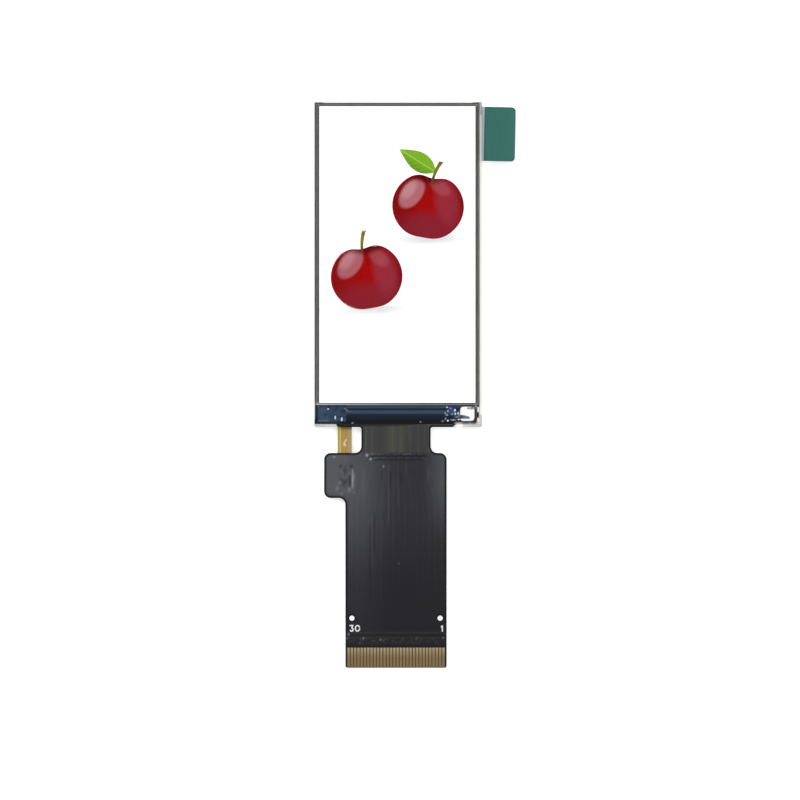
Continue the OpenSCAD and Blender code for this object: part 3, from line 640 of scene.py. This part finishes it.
# Polariser film, stretched polyvinyl alcohol: neutral grey. The backlight shines through it, and
# seen through the cell it glows as the fields above it do
polariser, tree, shader, _ = finish("grey_polariser_film", "#474b50", "#3f4348", 2.0, 0.2)
window = field(tree, (LIT_X0, LIT_X1), (LIT_Y0, LIT_Y1), 0.02, 0.02)
colour = linear("#ffffff")
for side, middle in fruit_middles():
    stalk_middle, stalk_turn = middle + (side * 0.95 + 0.35, 5.5), -11 * (side + 1)
    colour = over(tree, colour,
                  (spot(tree, stalk_middle, (0.4, 1.5), stalk_turn, 0.1), "#86802f"),
                  (spot(tree, middle - (0, 0.12), (5.5, 4.88), 0, 0.02), "#8f0d10"))
leaf_middle = LEAF_BASE + (-2.46, 1.54)
colour = over(tree, colour, (spot(tree, leaf_middle, (2.9, 1.05), LEAF_TURN, 0.1), "#7fb42a"))
feed(shader, {"Emission Color": colour,
              "Emission Strength": add(tree, "ShaderNodeMath", {0: window, 1: 1.25},
                                       operation="MULTIPLY")})
wear("lower_polariser", polariser)


# ---- black cover film over the copper of the flex ----

neck_edges = (STRIP_CX - NECK_W / 2, STRIP_CX + NECK_W / 2)
hole_places = [np.array([x, END_Y + HOLE_UP]) for x in (STRIP_X0 + HOLE_IN, STRIP_X1 - HOLE_IN)]


def flex_outline():
    """Outline of the flex, down its left side and up its right: head, neck, side lug, strip."""
    left, right = neck_edges
    bevel_x, bevel_y = HEAD_BEVEL
    r = FLEX_R
    return np.vstack([
        [[HEAD_X0, COVER_Y1], [HEAD_X0, FRAME_Y0 + bevel_y], [HEAD_X0 + bevel_x, FRAME_Y0]],
        arc(left - NECK_R, FRAME_Y0 - NECK_R, NECK_R, 90, 0, 5),
        arc(left - r, SHOULDER_Y + r, r, 0, -90), arc(LUG_X0 + r, SHOULDER_Y - r, r, 90, 180),
        arc(LUG_X0 + r, LUG_Y + r, r, 180, 270), arc(STRIP_X0 - r, LUG_Y - r, r, 90, 0),
        [[STRIP_X0, COVER_Y0], [STRIP_X1, COVER_Y0]],
        arc(STRIP_X1 - r, SHOULDER_Y - r, r, 0, 90), arc(right + r, SHOULDER_Y + r, r, 270, 180),
        arc(right + NECK_R, FRAME_Y0 - NECK_R, NECK_R, 180, 90, 5),
        [[HEAD_X1 - bevel_x, FRAME_Y0], [HEAD_X1, FRAME_Y0 + bevel_y], [HEAD_X1, COVER_Y1]]])


cover_grid = cut_grid(
    lines(LUG_X0, HEAD_X1, 0.115, (HEAD_X0, STRIP_X0, STRIP_X1, *neck_edges)),
    lines(COVER_Y0, COVER_Y1, 0.13, (FRAME_Y0, SHOULDER_Y, LUG_Y)),
    flex_outline(), [(c, HOLE_R) for c in hole_places])
points, inward, _ = cover_grid
x, y = points.T
chance = np.random.default_rng(7)


def blot(cx, cy, rx, ry):
    """A soft spot on the grid in hand, which falls off as a bell both ways."""
    return np.exp(-((x - cx) / rx) ** 2 - ((y - cy) / ry) ** 2)


# Heights and depths of what is pressed into the film
COPPER_RISE = 0.016
TRACK_RISE = 0.013
FURROW_DEPTH = 0.03
BEAD_RISE = 0.024
LUMP_RISE = 0.06
SLIT_DEPTH = 0.05
LIP_RISE = 0.045
PRESS_RISE = 0.008
CREASE_DEPTH = 0.01
UNEVENNESS = 0.004

# Copper lies a little way in from every edge, and lifts the film
copper = smooth((inward - 0.22) / 0.22)
relief = COPPER_RISE * copper

# Broad tracks run down the strip and gather towards the neck
TRACKS = 16
TRACK_STEP = 0.92
track_share = chance.uniform(0.25, 1.0, TRACKS)
gather = 0.66 + 0.34 * smooth((SHOULDER_Y + 0.5 - y) / 9)
tracks = np.zeros_like(x)
for i, share in enumerate(track_share):
    centre = STRIP_CX + (i - (TRACKS - 1) / 2) * TRACK_STEP * gather
    start, length = chance.uniform(0, 6), chance.uniform(8, 30)
    shown = smooth((SHOULDER_Y - start - y) / 2) * smooth((y - SHOULDER_Y + start + length) / 3)
    tracks += share * ridge(x, centre, 0.12) * (0.35 + 0.65 * shown)
relief += TRACK_RISE * tracks * copper

# Line of pads just below the neck: two uneven furrows with beads between them
FURROW_Y = SHOULDER_Y - 0.5
furrow_wave = 0.05 * np.sin(5.1 * x) + 0.04 * np.sin(11.7 * x + 1) + 0.02 * np.sin(23 * x)
in_furrow = smooth((x + 4.6) / 0.6) * smooth((4.7 - x) / 0.8)
in_lower = smooth((x + 3.9) / 0.5) * smooth((3.9 - x) / 0.8)
furrows = ridge(y, FURROW_Y + furrow_wave, 0.13) * in_furrow
furrows += 0.9 * ridge(y, FURROW_Y - 0.54 - furrow_wave, 0.12) * in_lower * in_furrow
upper_beads = ridge(y, FURROW_Y + 0.26, 0.12) * (0.5 + 0.5 * np.sin(5.7 * x + 2 * np.sin(2.3 * x)))
lower_beads = ridge(y, FURROW_Y - 0.3, 0.1) * (0.5 + 0.5 * np.sin(7.3 * x + 2 * np.sin(3 * x)))
bead_groups = 0.3 + 0.7 * smooth((np.sin(1.1 * x + 0.4) + 0.6) / 1.2)
beads = (upper_beads + 0.8 * lower_beads) * in_furrow * bead_groups
relief += BEAD_RISE * beads - FURROW_DEPTH * furrows

# Solder joints under the side lug push the film up in soft lumps, with a slit beside them
LUG_LUMPS = 34
lug_lumps = np.zeros_like(x)
for _ in range(LUG_LUMPS):
    cx, cy = chance.uniform(-9.4, -6.6), chance.uniform(-34.9, -30.6)
    lug_lumps += chance.uniform(-1, 1) * blot(cx, cy, chance.uniform(0.14, 0.3),
                                              chance.uniform(0.2, 0.55))
slit = ridge(x, -7.4, 0.13) * smooth((-31.9 - y) / 0.5) * smooth((y + 34.4) / 0.5)
lip = ridge(x, -6.94, 0.13) * smooth((-30.9 - y) / 0.9) * smooth((y + 34.7) / 0.9)
relief += LUMP_RISE * lug_lumps + LIP_RISE * lip - SLIT_DEPTH * slit

# Edge of the stiffener below, pressed through, and the speckle that the press leaves
CREASE_Y = LANDING_Y - 0.23
SPECKLES = 80
crease = ridge(y, CREASE_Y, 0.09) * smooth((inward - 0.5) / 0.4)
press = ridge(y, CREASE_Y + 0.38, 0.1) + 0.8 * ridge(y, CREASE_Y - 0.37, 0.1)
speckle = np.zeros_like(x)
for _ in range(SPECKLES):
    cx, cy = chance.uniform(STRIP_X0 + 0.3, STRIP_X1 - 0.3), chance.uniform(-58.15, -57.15)
    r = chance.uniform(0.06, 0.12)
    speckle += chance.uniform(0.3, 1) * blot(cx, cy, r, r)
speckle = np.minimum(speckle, 1)
relief += PRESS_RISE * (press * smooth((inward - 0.3) / 0.3) + speckle) - CREASE_DEPTH * crease

# A very slight hand-pressed unevenness all over
relief += UNEVENNESS * copper * (np.sin(0.9 * x + 0.35 * y) + np.sin(0.6 * x - 0.5 * y + 2))


def fine_lines(count, low, high, top, bottom, width):
    """Faint lines down the strip at random places, each fading in and out along its length."""
    total = np.zeros_like(x)
    for _ in range(count):
        start, end = sorted(chance.uniform(bottom, top, 2))
        total += chance.uniform(-1, 1) * ridge(x, chance.uniform(low, high),
                                               width * chance.uniform(0.5, 1.6)) \
            * smooth((y - start) / 1.2) * smooth((end - y) / 1.2)
    return total


# First tone: grey of the copper under the film, with a painted sheen strongest at the strip's upper
# corners and on the lug
upper_left = smooth((1 - x) / 9) * smooth((y + 50) / 16)
upper_right = smooth((x - 3.5) / 4) * smooth((y + 44) / 12)
left_half = smooth((-x - 1) / 5) * smooth((y + 62) / 14)
lug_tone = smooth((-7 - x) / 1.5) * smooth((y + 36) / 2)
copper_and_sheen_tone = copper * (0.05 + 0.47 * np.maximum(upper_left, 1.18 * upper_right)
                        + 0.1 * tracks * smooth((y + 56) / 14) + 0.17 * smooth((y + 52) / 18)
                        + 0.13 * left_half + 0.31 * lug_tone)

# Second tone: the thin film of the neck. The fourth is the olive of resin that shows through it
neck_zone = smooth((y - SHOULDER_Y + 0.1) / 0.3) * copper
fine = fine_lines(44, -6, 5.4, -22, -31, 0.14)
neck_tone = neck_zone * np.clip(0.85 + 0.16 * fine, 0, 1)
olive_lines = ((0.3, -0.85, 0.35), (0.4, 0.42, 0.16), (-0.4, -0.05, 0.12), (0.25, 1.9, 0.2))
olive = 0.5 * smooth((x + 2.4) / 1.2) * smooth((1.5 - x) / 1) + 0.22 * fine
olive += sum(weight * ridge(x, place, width) for weight, place, width in olive_lines)
olive = neck_zone * np.clip(olive, 0, 1)

# Third tone: marks, with painted shade and highlights on the relief, from 0 for black through 0.5
# for none to 1 for pale
# Lines down the neck: place across, tone
NECK_LINES = ((-4.88, 0.1), (-4.0, 0.08), (3.1, 0.07), (4.72, 0.14), (-2.9, -0.1), (2.5, -0.1))
# Streaks down the strip: place across, upper end, lower end, width, tone
STREAKS = ((-1.41, -30, -41, 0.1, 0.09), (-1.1, -30.8, -35, 0.15, -0.6),
           (0.43, -31.2, -35, 0.22, -0.4), (2.15, -31, -33, 0.25, -0.4),
           (-2.5, -31, -34, 0.15, -0.35), (0, -32, -38, 0.1, 0.05), (1.2, -30, -33, 0.1, 0.07),
           (-4.3, -39.5, -53, 0.13, -0.45), (-3.6, -37.5, -45, 0.14, -0.5),
           (-4.0, -37.7, -48, 0.08, 0.06), (-5.3, -30.5, -36, 0.3, 0.06),
           (4.6, -30.5, -34, 0.25, 0.06))
# Dents and specks: middle, half widths, tone; on the lug they are painted shade and highlights over
# its lumps
SPECKS = ((-4.75, -29.2, 0.15, 0.17, 1.7), (-4.17, -29.79, 0.14, 0.14, 1.6),
          (-2.2, -30.9, 0.1, 0.16, 0.8), (-9.74, -29.47, 0.22, 0.16, 0.6),
          (-5.3, -57.27, 0.1, 0.13, 0.9), (-7.55, -56.65, 0.12, 0.16, 0.7),
          (-7.77, -57.27, 0.12, 0.1, 0.6), (6.92, -57.2, 0.1, 0.1, 0.6),
          (-2.64, -57.47, 0.1, 0.12, 0.7), (0.16, -45.8, 0.07, 0.1, 0.4),
          (-8.8, -30.9, 0.25, 0.35, -0.7), (-7.15, -30.9, 0.25, 0.3, -0.7),
          (-8.0, -33.2, 0.4, 0.5, -0.6), (-8.55, -33.0, 0.2, 0.4, -0.4),
          (-8.1, -31.9, 0.15, 0.4, -0.5), (-8.7, -35.0, 0.2, 0.4, 0.3),
          (-8.75, -32.0, 0.12, 0.5, 0.2), (3.3, -30.7, 0.1, 0.1, -0.5))
# The relief is also painted: painted shade in the furrows, slit and crease, painted highlights on
# the beads, lip, lumps, speckle and press lines
marks_and_shading = 0.25 * np.clip(beads, 0, 1) - np.minimum(furrows, 1) - 0.9 * slit + 0.6 * lip \
    + 0.3 * lug_lumps + 0.14 * speckle - 0.6 * crease + 0.05 * press
for cx, top, bottom, width, tone in STREAKS:
    marks_and_shading += tone * ridge(x, cx, width) * smooth((top - y) / 1.2) * smooth((y - bottom) / 2)
marks_and_shading += sum(tone * blot(*place) for *place, tone in SPECKS)
marks_and_shading += neck_zone * sum(tone * ridge(x, place, 0.1) for place, tone in NECK_LINES)
# Resin has crept down over the head and stained it, least towards the right
stain_end = FRAME_Y0 + 0.1 + 0.32 * smooth((x + 0.5) / 4)
marks_and_shading -= 0.85 * smooth((y - stain_end) / 0.1) * smooth((5 - x) / 2)

# Black polyimide cover film, pressed over the tracks: satin, greyer over copper, with a painted
# sheen and painted shade and highlights on its relief
cover_black, tree, shader, colour = finish("black_cover_film", "#18171d", "#151419", 1.6, 0.3,
                                           rise=0.0012, grain=0.22, Specular_IOR_Level=0.32)
copper_and_sheen, on_neck, mark_and_shade, stained = slab_tones(tree)
dark = add(tree, "ShaderNodeMapRange", {"Value": mark_and_shade, "From Min": 0.5, "From Max": 0.0,
                                        "To Max": 0.85})
pale = add(tree, "ShaderNodeMapRange", {"Value": mark_and_shade, "From Min": 0.5, "To Max": 0.75})
feed(shader, {"Base Color": over(
    tree, colour, (copper_and_sheen, "#55565b"), (on_neck, "#3b3b3a"), (stained, "#4c4c43"),
    (dark, "#08080a"), (pale, "#a9abae"))})

cover_under = flex_height(y)
cover = slab("flex_cover", cover_grid, cover_under + COVER_T - COPPER_RISE + relief, cover_under,
             cover_black, (copper_and_sheen_tone, neck_tone, 0.5 + 0.5 * marks_and_shading, olive))
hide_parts("flex_cover_film")


# ---- blue resin over the chip on the glass ledge ----

coat_grid = cut_grid(
    lines(COAT_X0, COAT_X1, 0.09, step_lines((CHIP_X0, CHIP_X1, HEAD_X0, HEAD_X1))),
    lines(COAT_Y0, COAT_Y1, 0.055, step_lines((CHIP_Y0, CHIP_Y1, HEAD_Y1, COVER_Y1))),
    rounded(COAT_X0, COAT_Y0, COAT_X1, COAT_Y1 + COAT_R, COAT_R))
points, inward, _ = coat_grid
x, y = points.T
over_chip = smooth((x - CHIP_X0 + 0.5) / 0.45) * smooth((CHIP_X1 + 0.5 - x) / 0.45)
over_head = (x > HEAD_X0) & (x < HEAD_X1) & (y < HEAD_Y1)
on_chip = (x > CHIP_X0) & (x < CHIP_X1) & (y > CHIP_Y0) & (y < CHIP_Y1)
# Sections down the ledge, over the chip and beside it: place along, height above the back face
with_chip = eased(y, [(COAT_Y1, 1.325), (COAT_Y1 - 0.12, 1.31), (CHIP_Y1 + 0.28, 1.285),
                      (CHIP_Y1 + 0.08, 1.312), (CHIP_Y1 - 0.1, 1.325), (CHIP_Y0 + 0.15, 1.315),
                      (CHIP_Y0, 1.31), (CHIP_Y0 - 0.2, 1.262), (HEAD_Y1, 1.245),
                      (COVER_Y1, 1.232), (COAT_Y0, 1.215)])
without = eased(y, [(COAT_Y1, 1.325), (COAT_Y1 - 0.15, 1.29), (COAT_Y1 - 0.6, 1.24),
                    (CHIP_Y0, 1.225), (COVER_Y1, 1.215), (COAT_Y0, 1.205)])
RIPPLE = 0.004
CLEAR_RISE = 0.05
SKIN_T = 0.012
RIM_R = 0.18
waves = np.sin(1.3 * x + 2 * y) + np.sin(2.9 * x - 1.1 * y + 1) + np.sin(0.7 * x + 4 * y)
clear_bead = np.exp(-(((x - 10.7) / 1.05) ** 4 + ((y + 22.95) / 0.85) ** 4))
coat_height = without + (with_chip - without) * over_chip \
    + RIPPLE * waves * smooth(inward / 0.4) + CLEAR_RISE * clear_bead
# It lies on the chip, the flex's head and the glass, and keeps a skin at its rounded rim
head_top = np.where(y < COVER_Y1, HEAD_TOP, HEAD_TOP - COVER_T)
coat_floor = np.where(on_chip, CHIP_TOP, np.where(over_head, head_top, GLASS_TOP))
skin = coat_floor + SKIN_T
fall = np.sqrt(np.clip(1 - (1 - np.clip(inward / RIM_R, 0, 1)) ** 2, 0, 1))
coat_height = np.minimum(np.maximum(skin + (coat_height - skin) * fall, skin), COAT_TOP)

# First tone: depth of blue, in bands along the chip that are painted reflection and shade of the
# resin's crown over it, and in a cloudy pool at its left
crown_light_bands = eased(y, [(-21.51, 0.42), (-21.59, 0.4), (-21.74, 0.3), (-21.9, 0.4), (-22.05, 0.12),
                  (-22.2, 0.02), (-22.36, 0.3), (-22.51, 0.45), (-22.66, 0.44), (-22.82, 0.26),
                  (-22.97, 0.09), (-23.4, 0.05), (-23.9, 0.0), (-24.42, 0.0)], 0.03)
low_pool = smooth((-23.9 - y) / 0.3)
pool = 0.33 + 0.12 * smooth((-10.6 - x) / 0.4) \
    + 0.09 * np.sin(3.1 * x + 2.3 * y + np.sin(1.3 * y)) * np.sin(1.9 * x - 4.1 * y + 1) \
    - 0.24 * blot(-9, -21.68, 3.4, 0.12) + 0.1 * blot(-10.9, -23.9, 0.8, 0.15) \
    - 0.14 * blot(-11.2, -23.0, 0.35, 0.3) - 0.12 * blot(-8.3, -22.6, 0.3, 0.5) \
    - low_pool * (0.12 + 0.3 * smooth((x + 9.8) / 0.4))
depth = pool + (crown_light_bands - pool) * smooth((x - CHIP_X0 + 0.35) / 0.4) \
    + 0.25 * blot(8.2, -22.35, 0.35, 0.3) - 0.2 * blot(8.95, -22.3, 0.3, 0.3)

# Second tone: a white patch at the right end, a rounded square that a wedge and two drops of blue
# cut into
CLEAR_X, CLEAR_Y = 10.61, -22.86
clear_shape = ((np.abs(x - CLEAR_X) / 1.08) ** 5 + (np.abs(y - CLEAR_Y) / 1.1) ** 5) ** 0.2
clear = smooth((1.03 - clear_shape) / 0.08)
wedge = smooth((11.05 - x) / 0.2) * smooth((-22.97 - 0.17 * (x - 9.6) ** 2 - y) / 0.12) \
    * smooth((y + 23.68) / 0.12)
clear *= 1 - 0.97 * wedge
clear *= 1 - 0.9 * blot(10.79, -22.0, 0.22, 0.17) - 0.98 * blot(11.32, -21.98, 0.26, 0.22)
clear = np.maximum(clear, 0.9 * np.exp(-((x - 9.35) / 0.6) ** 4 - ((y + 24.42) / 0.2) ** 2))

# Third tone: the dark seam round the white patch, and dark edges at the low left
seam = smooth((clear_shape - 0.98) / 0.06) * smooth((x - 9.5) / 0.3) \
    + 0.85 * smooth((-24.0 - y) / 0.12) * smooth((-8.6 - x) / 0.6) \
    + 0.7 * blot(-12.2, -23.6, 0.3, 0.5)

# Fourth tone: painted glints and pale streaks on the resin: middle, half widths, tone
GLINTS = ((11.95, -21.75, 0.3, 0.22, 0.45), (10.4, -23.35, 0.5, 0.16, 0.3),
          (11.02, -24.3, 0.16, 0.07, 0.8), (7.65, -22.42, 0.1, 0.14, 0.9),
          (7.24, -22.77, 0.09, 0.14, 0.7), (7.5, -23.04, 0.14, 0.1, 0.9),
          (8.05, -22.02, 0.16, 0.1, 0.5), (8.25, -22.92, 0.13, 0.12, 0.5),
          (8.46, -23.79, 0.36, 0.1, 0.7), (7.28, -23.62, 0.1, 0.16, 0.6),
          (6.84, -23.99, 0.16, 0.1, 0.5), (3.43, -24.08, 0.1, 0.08, 0.7),
          (-6.95, -24.28, 0.15, 0.09, 0.6), (-12.3, -21.7, 0.09, 0.09, 0.7),
          (9.3, -22.95, 0.2, 0.3, 0.4), (9.0, -23.35, 0.3, 0.12, 0.35))
slanted = np.exp(-((x + 7.9 + 1.37 * (y + 22.22)) / 0.17) ** 2)
glints = sum(tone * blot(*place) for *place, tone in GLINTS) \
    + 0.6 * smooth((-24.2 - y) / 0.15) * smooth((x - 9.9) / 0.3) \
    + 0.16 * smooth((0.1 - np.abs(y + 23.9)) / 0.08) * smooth((-9.9 - x) / 1.2) \
    + 0.2 * slanted * smooth((0.34 - np.abs(y + 22.22)) / 0.15)

# Epoxy resin dyed blue, poured and cured: deep gloss; it is painted white at its right end, and
# violet and navy spots lie beside that end
resin, tree, shader, colour = finish("dyed_epoxy_resin", "#090e16", "#0c121b", 0.8, 0.07,
                                     IOR=1.5, Specular_IOR_Level=0.35)
blue_depth_and_shade, white_end, dark_seam, glint = slab_tones(tree)
violet = spot(tree, (8.15, -22.35), (0.42, 0.6), 0, 0.4, 0.65)
navy = spot(tree, (8.55, -21.76), (0.95, 0.15), 0, 0.5, 0.7)
feed(shader, {"Base Color": over(
    tree, colour, (blue_depth_and_shade, "#4f6a8e"), (dark_seam, "#303032"), (violet, "#363f78"),
    (navy, "#162a5e"), (glint, "#c2cfde"), (white_end, "#ffffff"))})
coat = slab("ledge_resin", coat_grid, coat_height, coat_floor, resin,
            (depth, clear, seam, glints))
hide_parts("ledge_coating")


def caps(name, places, material, ring=14, rise=6):
    """Low domes as one mesh: each point is its centre plus its size times a half-sphere's."""
    a = np.linspace(0, 2 * math.pi, ring, endpoint=False)
    b = np.linspace(0, math.pi / 2, rise + 1)[:-1]
    unit = np.stack([np.outer(np.cos(b), np.cos(a)), np.outer(np.cos(b), np.sin(a)),
                     np.outer(np.sin(b), np.ones(ring))], axis=-1).reshape(-1, 3)
    unit = np.vstack([unit, [[0, 0, 1]]])
    i = np.arange(ring * rise).reshape(rise, ring)
    j = np.roll(i, -1, axis=1)
    side = np.stack([i[:-1], j[:-1], j[1:], i[1:]], axis=-1).reshape(-1, 4)
    top = np.column_stack([i[-1], j[-1], np.full(ring, ring * rise)])
    floor = i[0][::-1][None, :]
    places = np.array(places)
    vertices = (places[:, None, :3] + unit[None] * places[:, None, 3:6]).reshape(-1, 3)
    shift = (np.arange(len(places)) * len(unit))[:, None, None]
    faces = [(part[None] + shift).reshape(-1, part.shape[1]) for part in (side, top, floor)]
    make_piece(name, vertices, faces, material)


def resin_top(px, py):
    """Height of the resin at the grid point nearest to a place."""
    return coat_height[np.argmin((x - px) ** 2 + (y - py) ** 2)]


# Air bubbles caught in the resin's skin, a hair below it, painted pale as highlights: place and
# half widths
BUBBLES = ((-10.68, -22.11, 0.12, 0.14), (-9.6, -23.43, 0.11, 0.3), (-8.6, -23.69, 0.14, 0.32),
           (7.5, -21.88, 0.16, 0.1), (8.71, -22.31, 0.16, 0.2), (8.77, -22.88, 0.12, 0.2),
           (9.17, -22.77, 0.15, 0.12), (9.32, -23.73, 0.22, 0.1), (7.62, -23.92, 0.15, 0.15))
BUBBLE_SINK = 0.002
BUBBLE_RISE = 0.02
bubble = finish("bubble_in_resin", "#dfe9f2", "#b9c8d8", 0.3, 0.08, Coat_Weight=0.5)[0]
caps("resin_bubbles", [(px, py, resin_top(px, py) - BUBBLE_SINK, rx, ry, BUBBLE_RISE)
                       for px, py, rx, ry in BUBBLES], bubble)


# ---- printed contact numbers ----

NUMERALS = (("3", -7.08), ("0", -6.2), ("1", 6.8))
NUMERAL_Y = END_Y + HOLE_UP - 1.57
NUMERAL_H = 0.86
STROKE_W = 0.19
INK_LIFT = 0.006
INK_T = 0.008


def numeral(shape, cx):
    """Path of a plain numeral, as wide as two thirds of its height."""
    w, h = NUMERAL_H / 3, NUMERAL_H / 2
    if shape == "0":
        path = arc(0, 0, 1, 0, 360, 28) * (1.12, 1)
    elif shape == "1":
        path = np.array([[-0.55, 0.55], [0, 1], [0, 0.3], [0, -0.3], [0, -1]])
    else:
        flat = np.column_stack([np.linspace(-0.85, 0.75, 6), np.ones(6)])
        slant = np.column_stack([np.linspace(0.6, -0.1, 6), np.linspace(0.88, 0.2, 6)])
        bowl = arc(-0.05, -0.4, 0.6, 70, -150, 16) * (1.35, 1)
        path = np.vstack([flat, slant, bowl])
    return path * (w, h) + (cx, NUMERAL_Y)


def ink_stroke(path, width):
    """A thin stroke with round ends along a path, as points and faces.

    The path's points move both ways along its normal to give the two sides, and a half circle
    joins the sides at each end. The ring that they make lies on the flex, and again INK_T higher.
    """
    ahead = np.gradient(path, axis=0)
    ahead /= np.linalg.norm(ahead, axis=1)[:, None]
    normal = np.column_stack([-ahead[:, 1], ahead[:, 0]])
    a = np.radians(np.linspace(90, -90, 9)[1:-1])[:, None]
    end = path[-1] + (np.cos(a) * ahead[-1] + np.sin(a) * normal[-1]) * width / 2
    start = path[0] - (np.cos(a) * ahead[0] + np.sin(a) * normal[0]) * width / 2
    left, right = path + normal * width / 2, path - normal * width / 2
    ring = np.vstack([left, end, right[::-1], start])
    under = flex_height(ring[:, 1]) + COVER_T + INK_LIFT
    points = np.vstack([np.column_stack([ring, under + INK_T]), np.column_stack([ring, under])])
    n, m = len(path), len(ring)
    turn = n + len(end)
    i, k = np.arange(n - 1), np.arange(m)
    top = np.column_stack([i, turn + n - 1 - i, turn + n - 2 - i, i + 1])
    end_cap = np.arange(n - 1, turn + 1)[None]
    start_cap = np.append(np.arange(turn + n - 1, m), 0)[None]
    walls = np.column_stack([k, np.roll(k, -1), np.roll(k, -1) + m, k + m])
    return points, [top, top[:, ::-1] + m, end_cap[:, ::-1], end_cap + m,
                    start_cap[:, ::-1], start_cap + m, walls]


vertices, faces, count = [], [], 0
for shape, cx in NUMERALS:
    stroke_points, stroke_faces = ink_stroke(numeral(shape, cx), STROKE_W)
    vertices.append(stroke_points)
    faces += [part + count for part in stroke_faces]
    count += len(stroke_points)
ink = finish("white_screen_ink", "#f2f2f4", "#dcdce0", 0.4, 0.5)[0]
make_piece("contact_numbers", np.vstack(vertices), faces, ink)


# ---- floor, light and camera, in metres ----

FLOOR_HALF = 4.0
FLOOR_Z = -0.00002
FLOOR_GLOW = 0.58
VIEW_CENTRE = (0.00031, -0.02075)
VIEW_WIDTH = 0.1224
VIEW_LEVEL = 0.001
CAMERA_DISTANCE = 0.75
SENSOR_MM = 36

floor_mesh = bpy.data.meshes.new("studio_floor")
floor_mesh.from_pydata([(FLOOR_HALF * sx, FLOOR_HALF * sy, FLOOR_Z)
                        for sx, sy in ((-1, -1), (1, -1), (1, 1), (-1, 1))], [], [(0, 1, 2, 3)])
floor = bpy.data.objects.new("studio_floor", floor_mesh)
bpy.context.collection.objects.link(floor)

# White paper floor: evenly lit where it is seen, directly or in a gloss, and matt for shadows
paper = bpy.data.materials.new("white_paper")
paper.use_nodes = True
tree = paper.node_tree
tree.nodes.clear()
rays = add(tree, "ShaderNodeLightPath").outputs
seen = rays["Is Camera Ray"]
for kind in ("Is Glossy Ray", "Is Transmission Ray"):
    seen = add(tree, "ShaderNodeMath", {0: seen, 1: rays[kind]}, operation="MAXIMUM")
share = add(tree, "ShaderNodeMath", {0: seen, 1: FLOOR_GLOW}, operation="MULTIPLY")
matt = add(tree, "ShaderNodeBsdfDiffuse", {"Color": (0.86, 0.86, 0.86, 1)})
glow = add(tree, "ShaderNodeEmission", {"Color": (1, 1, 1, 1), "Strength": share})
add(tree, "ShaderNodeOutputMaterial",
    {"Surface": add(tree, "ShaderNodeAddShader", {0: matt, 1: glow})})
floor_mesh.materials.append(paper)

world = bpy.data.worlds.new("soft_studio")
world.use_nodes = True
feed(world.node_tree.nodes["Background"], {"Color": (1, 1, 1, 1), "Strength": 0.3})
bpy.context.scene.world = world


def lamp(name, direction, strength, spread):
    """A broad, even light from a direction, as from a large soft box far away."""
    light = bpy.data.lights.new(name, "SUN")
    light.energy = strength
    light.angle = math.radians(spread)
    holder = bpy.data.objects.new(name, light)
    holder.rotation_euler = Vector(direction).to_track_quat("Z", "Y").to_euler()
    bpy.context.collection.objects.link(holder)


lamp("key_light", (-0.6, 0.8, 0.9), 2.1, 45)
lamp("fill_light", (0.9, 0.15, 0.8), 1.2, 60)

camera_data = bpy.data.cameras.new("studio_camera")
camera_data.sensor_width = SENSOR_MM
camera_data.lens = SENSOR_MM * CAMERA_DISTANCE / VIEW_WIDTH
camera_data.clip_start = 0.01
camera_data.clip_end = 50
camera = bpy.data.objects.new("studio_camera", camera_data)
camera.location = (*VIEW_CENTRE, VIEW_LEVEL + CAMERA_DISTANCE)
bpy.context.collection.objects.link(camera)
bpy.context.scene.camera = camera
bpy.context.scene.view_settings.view_transform = "Standard"
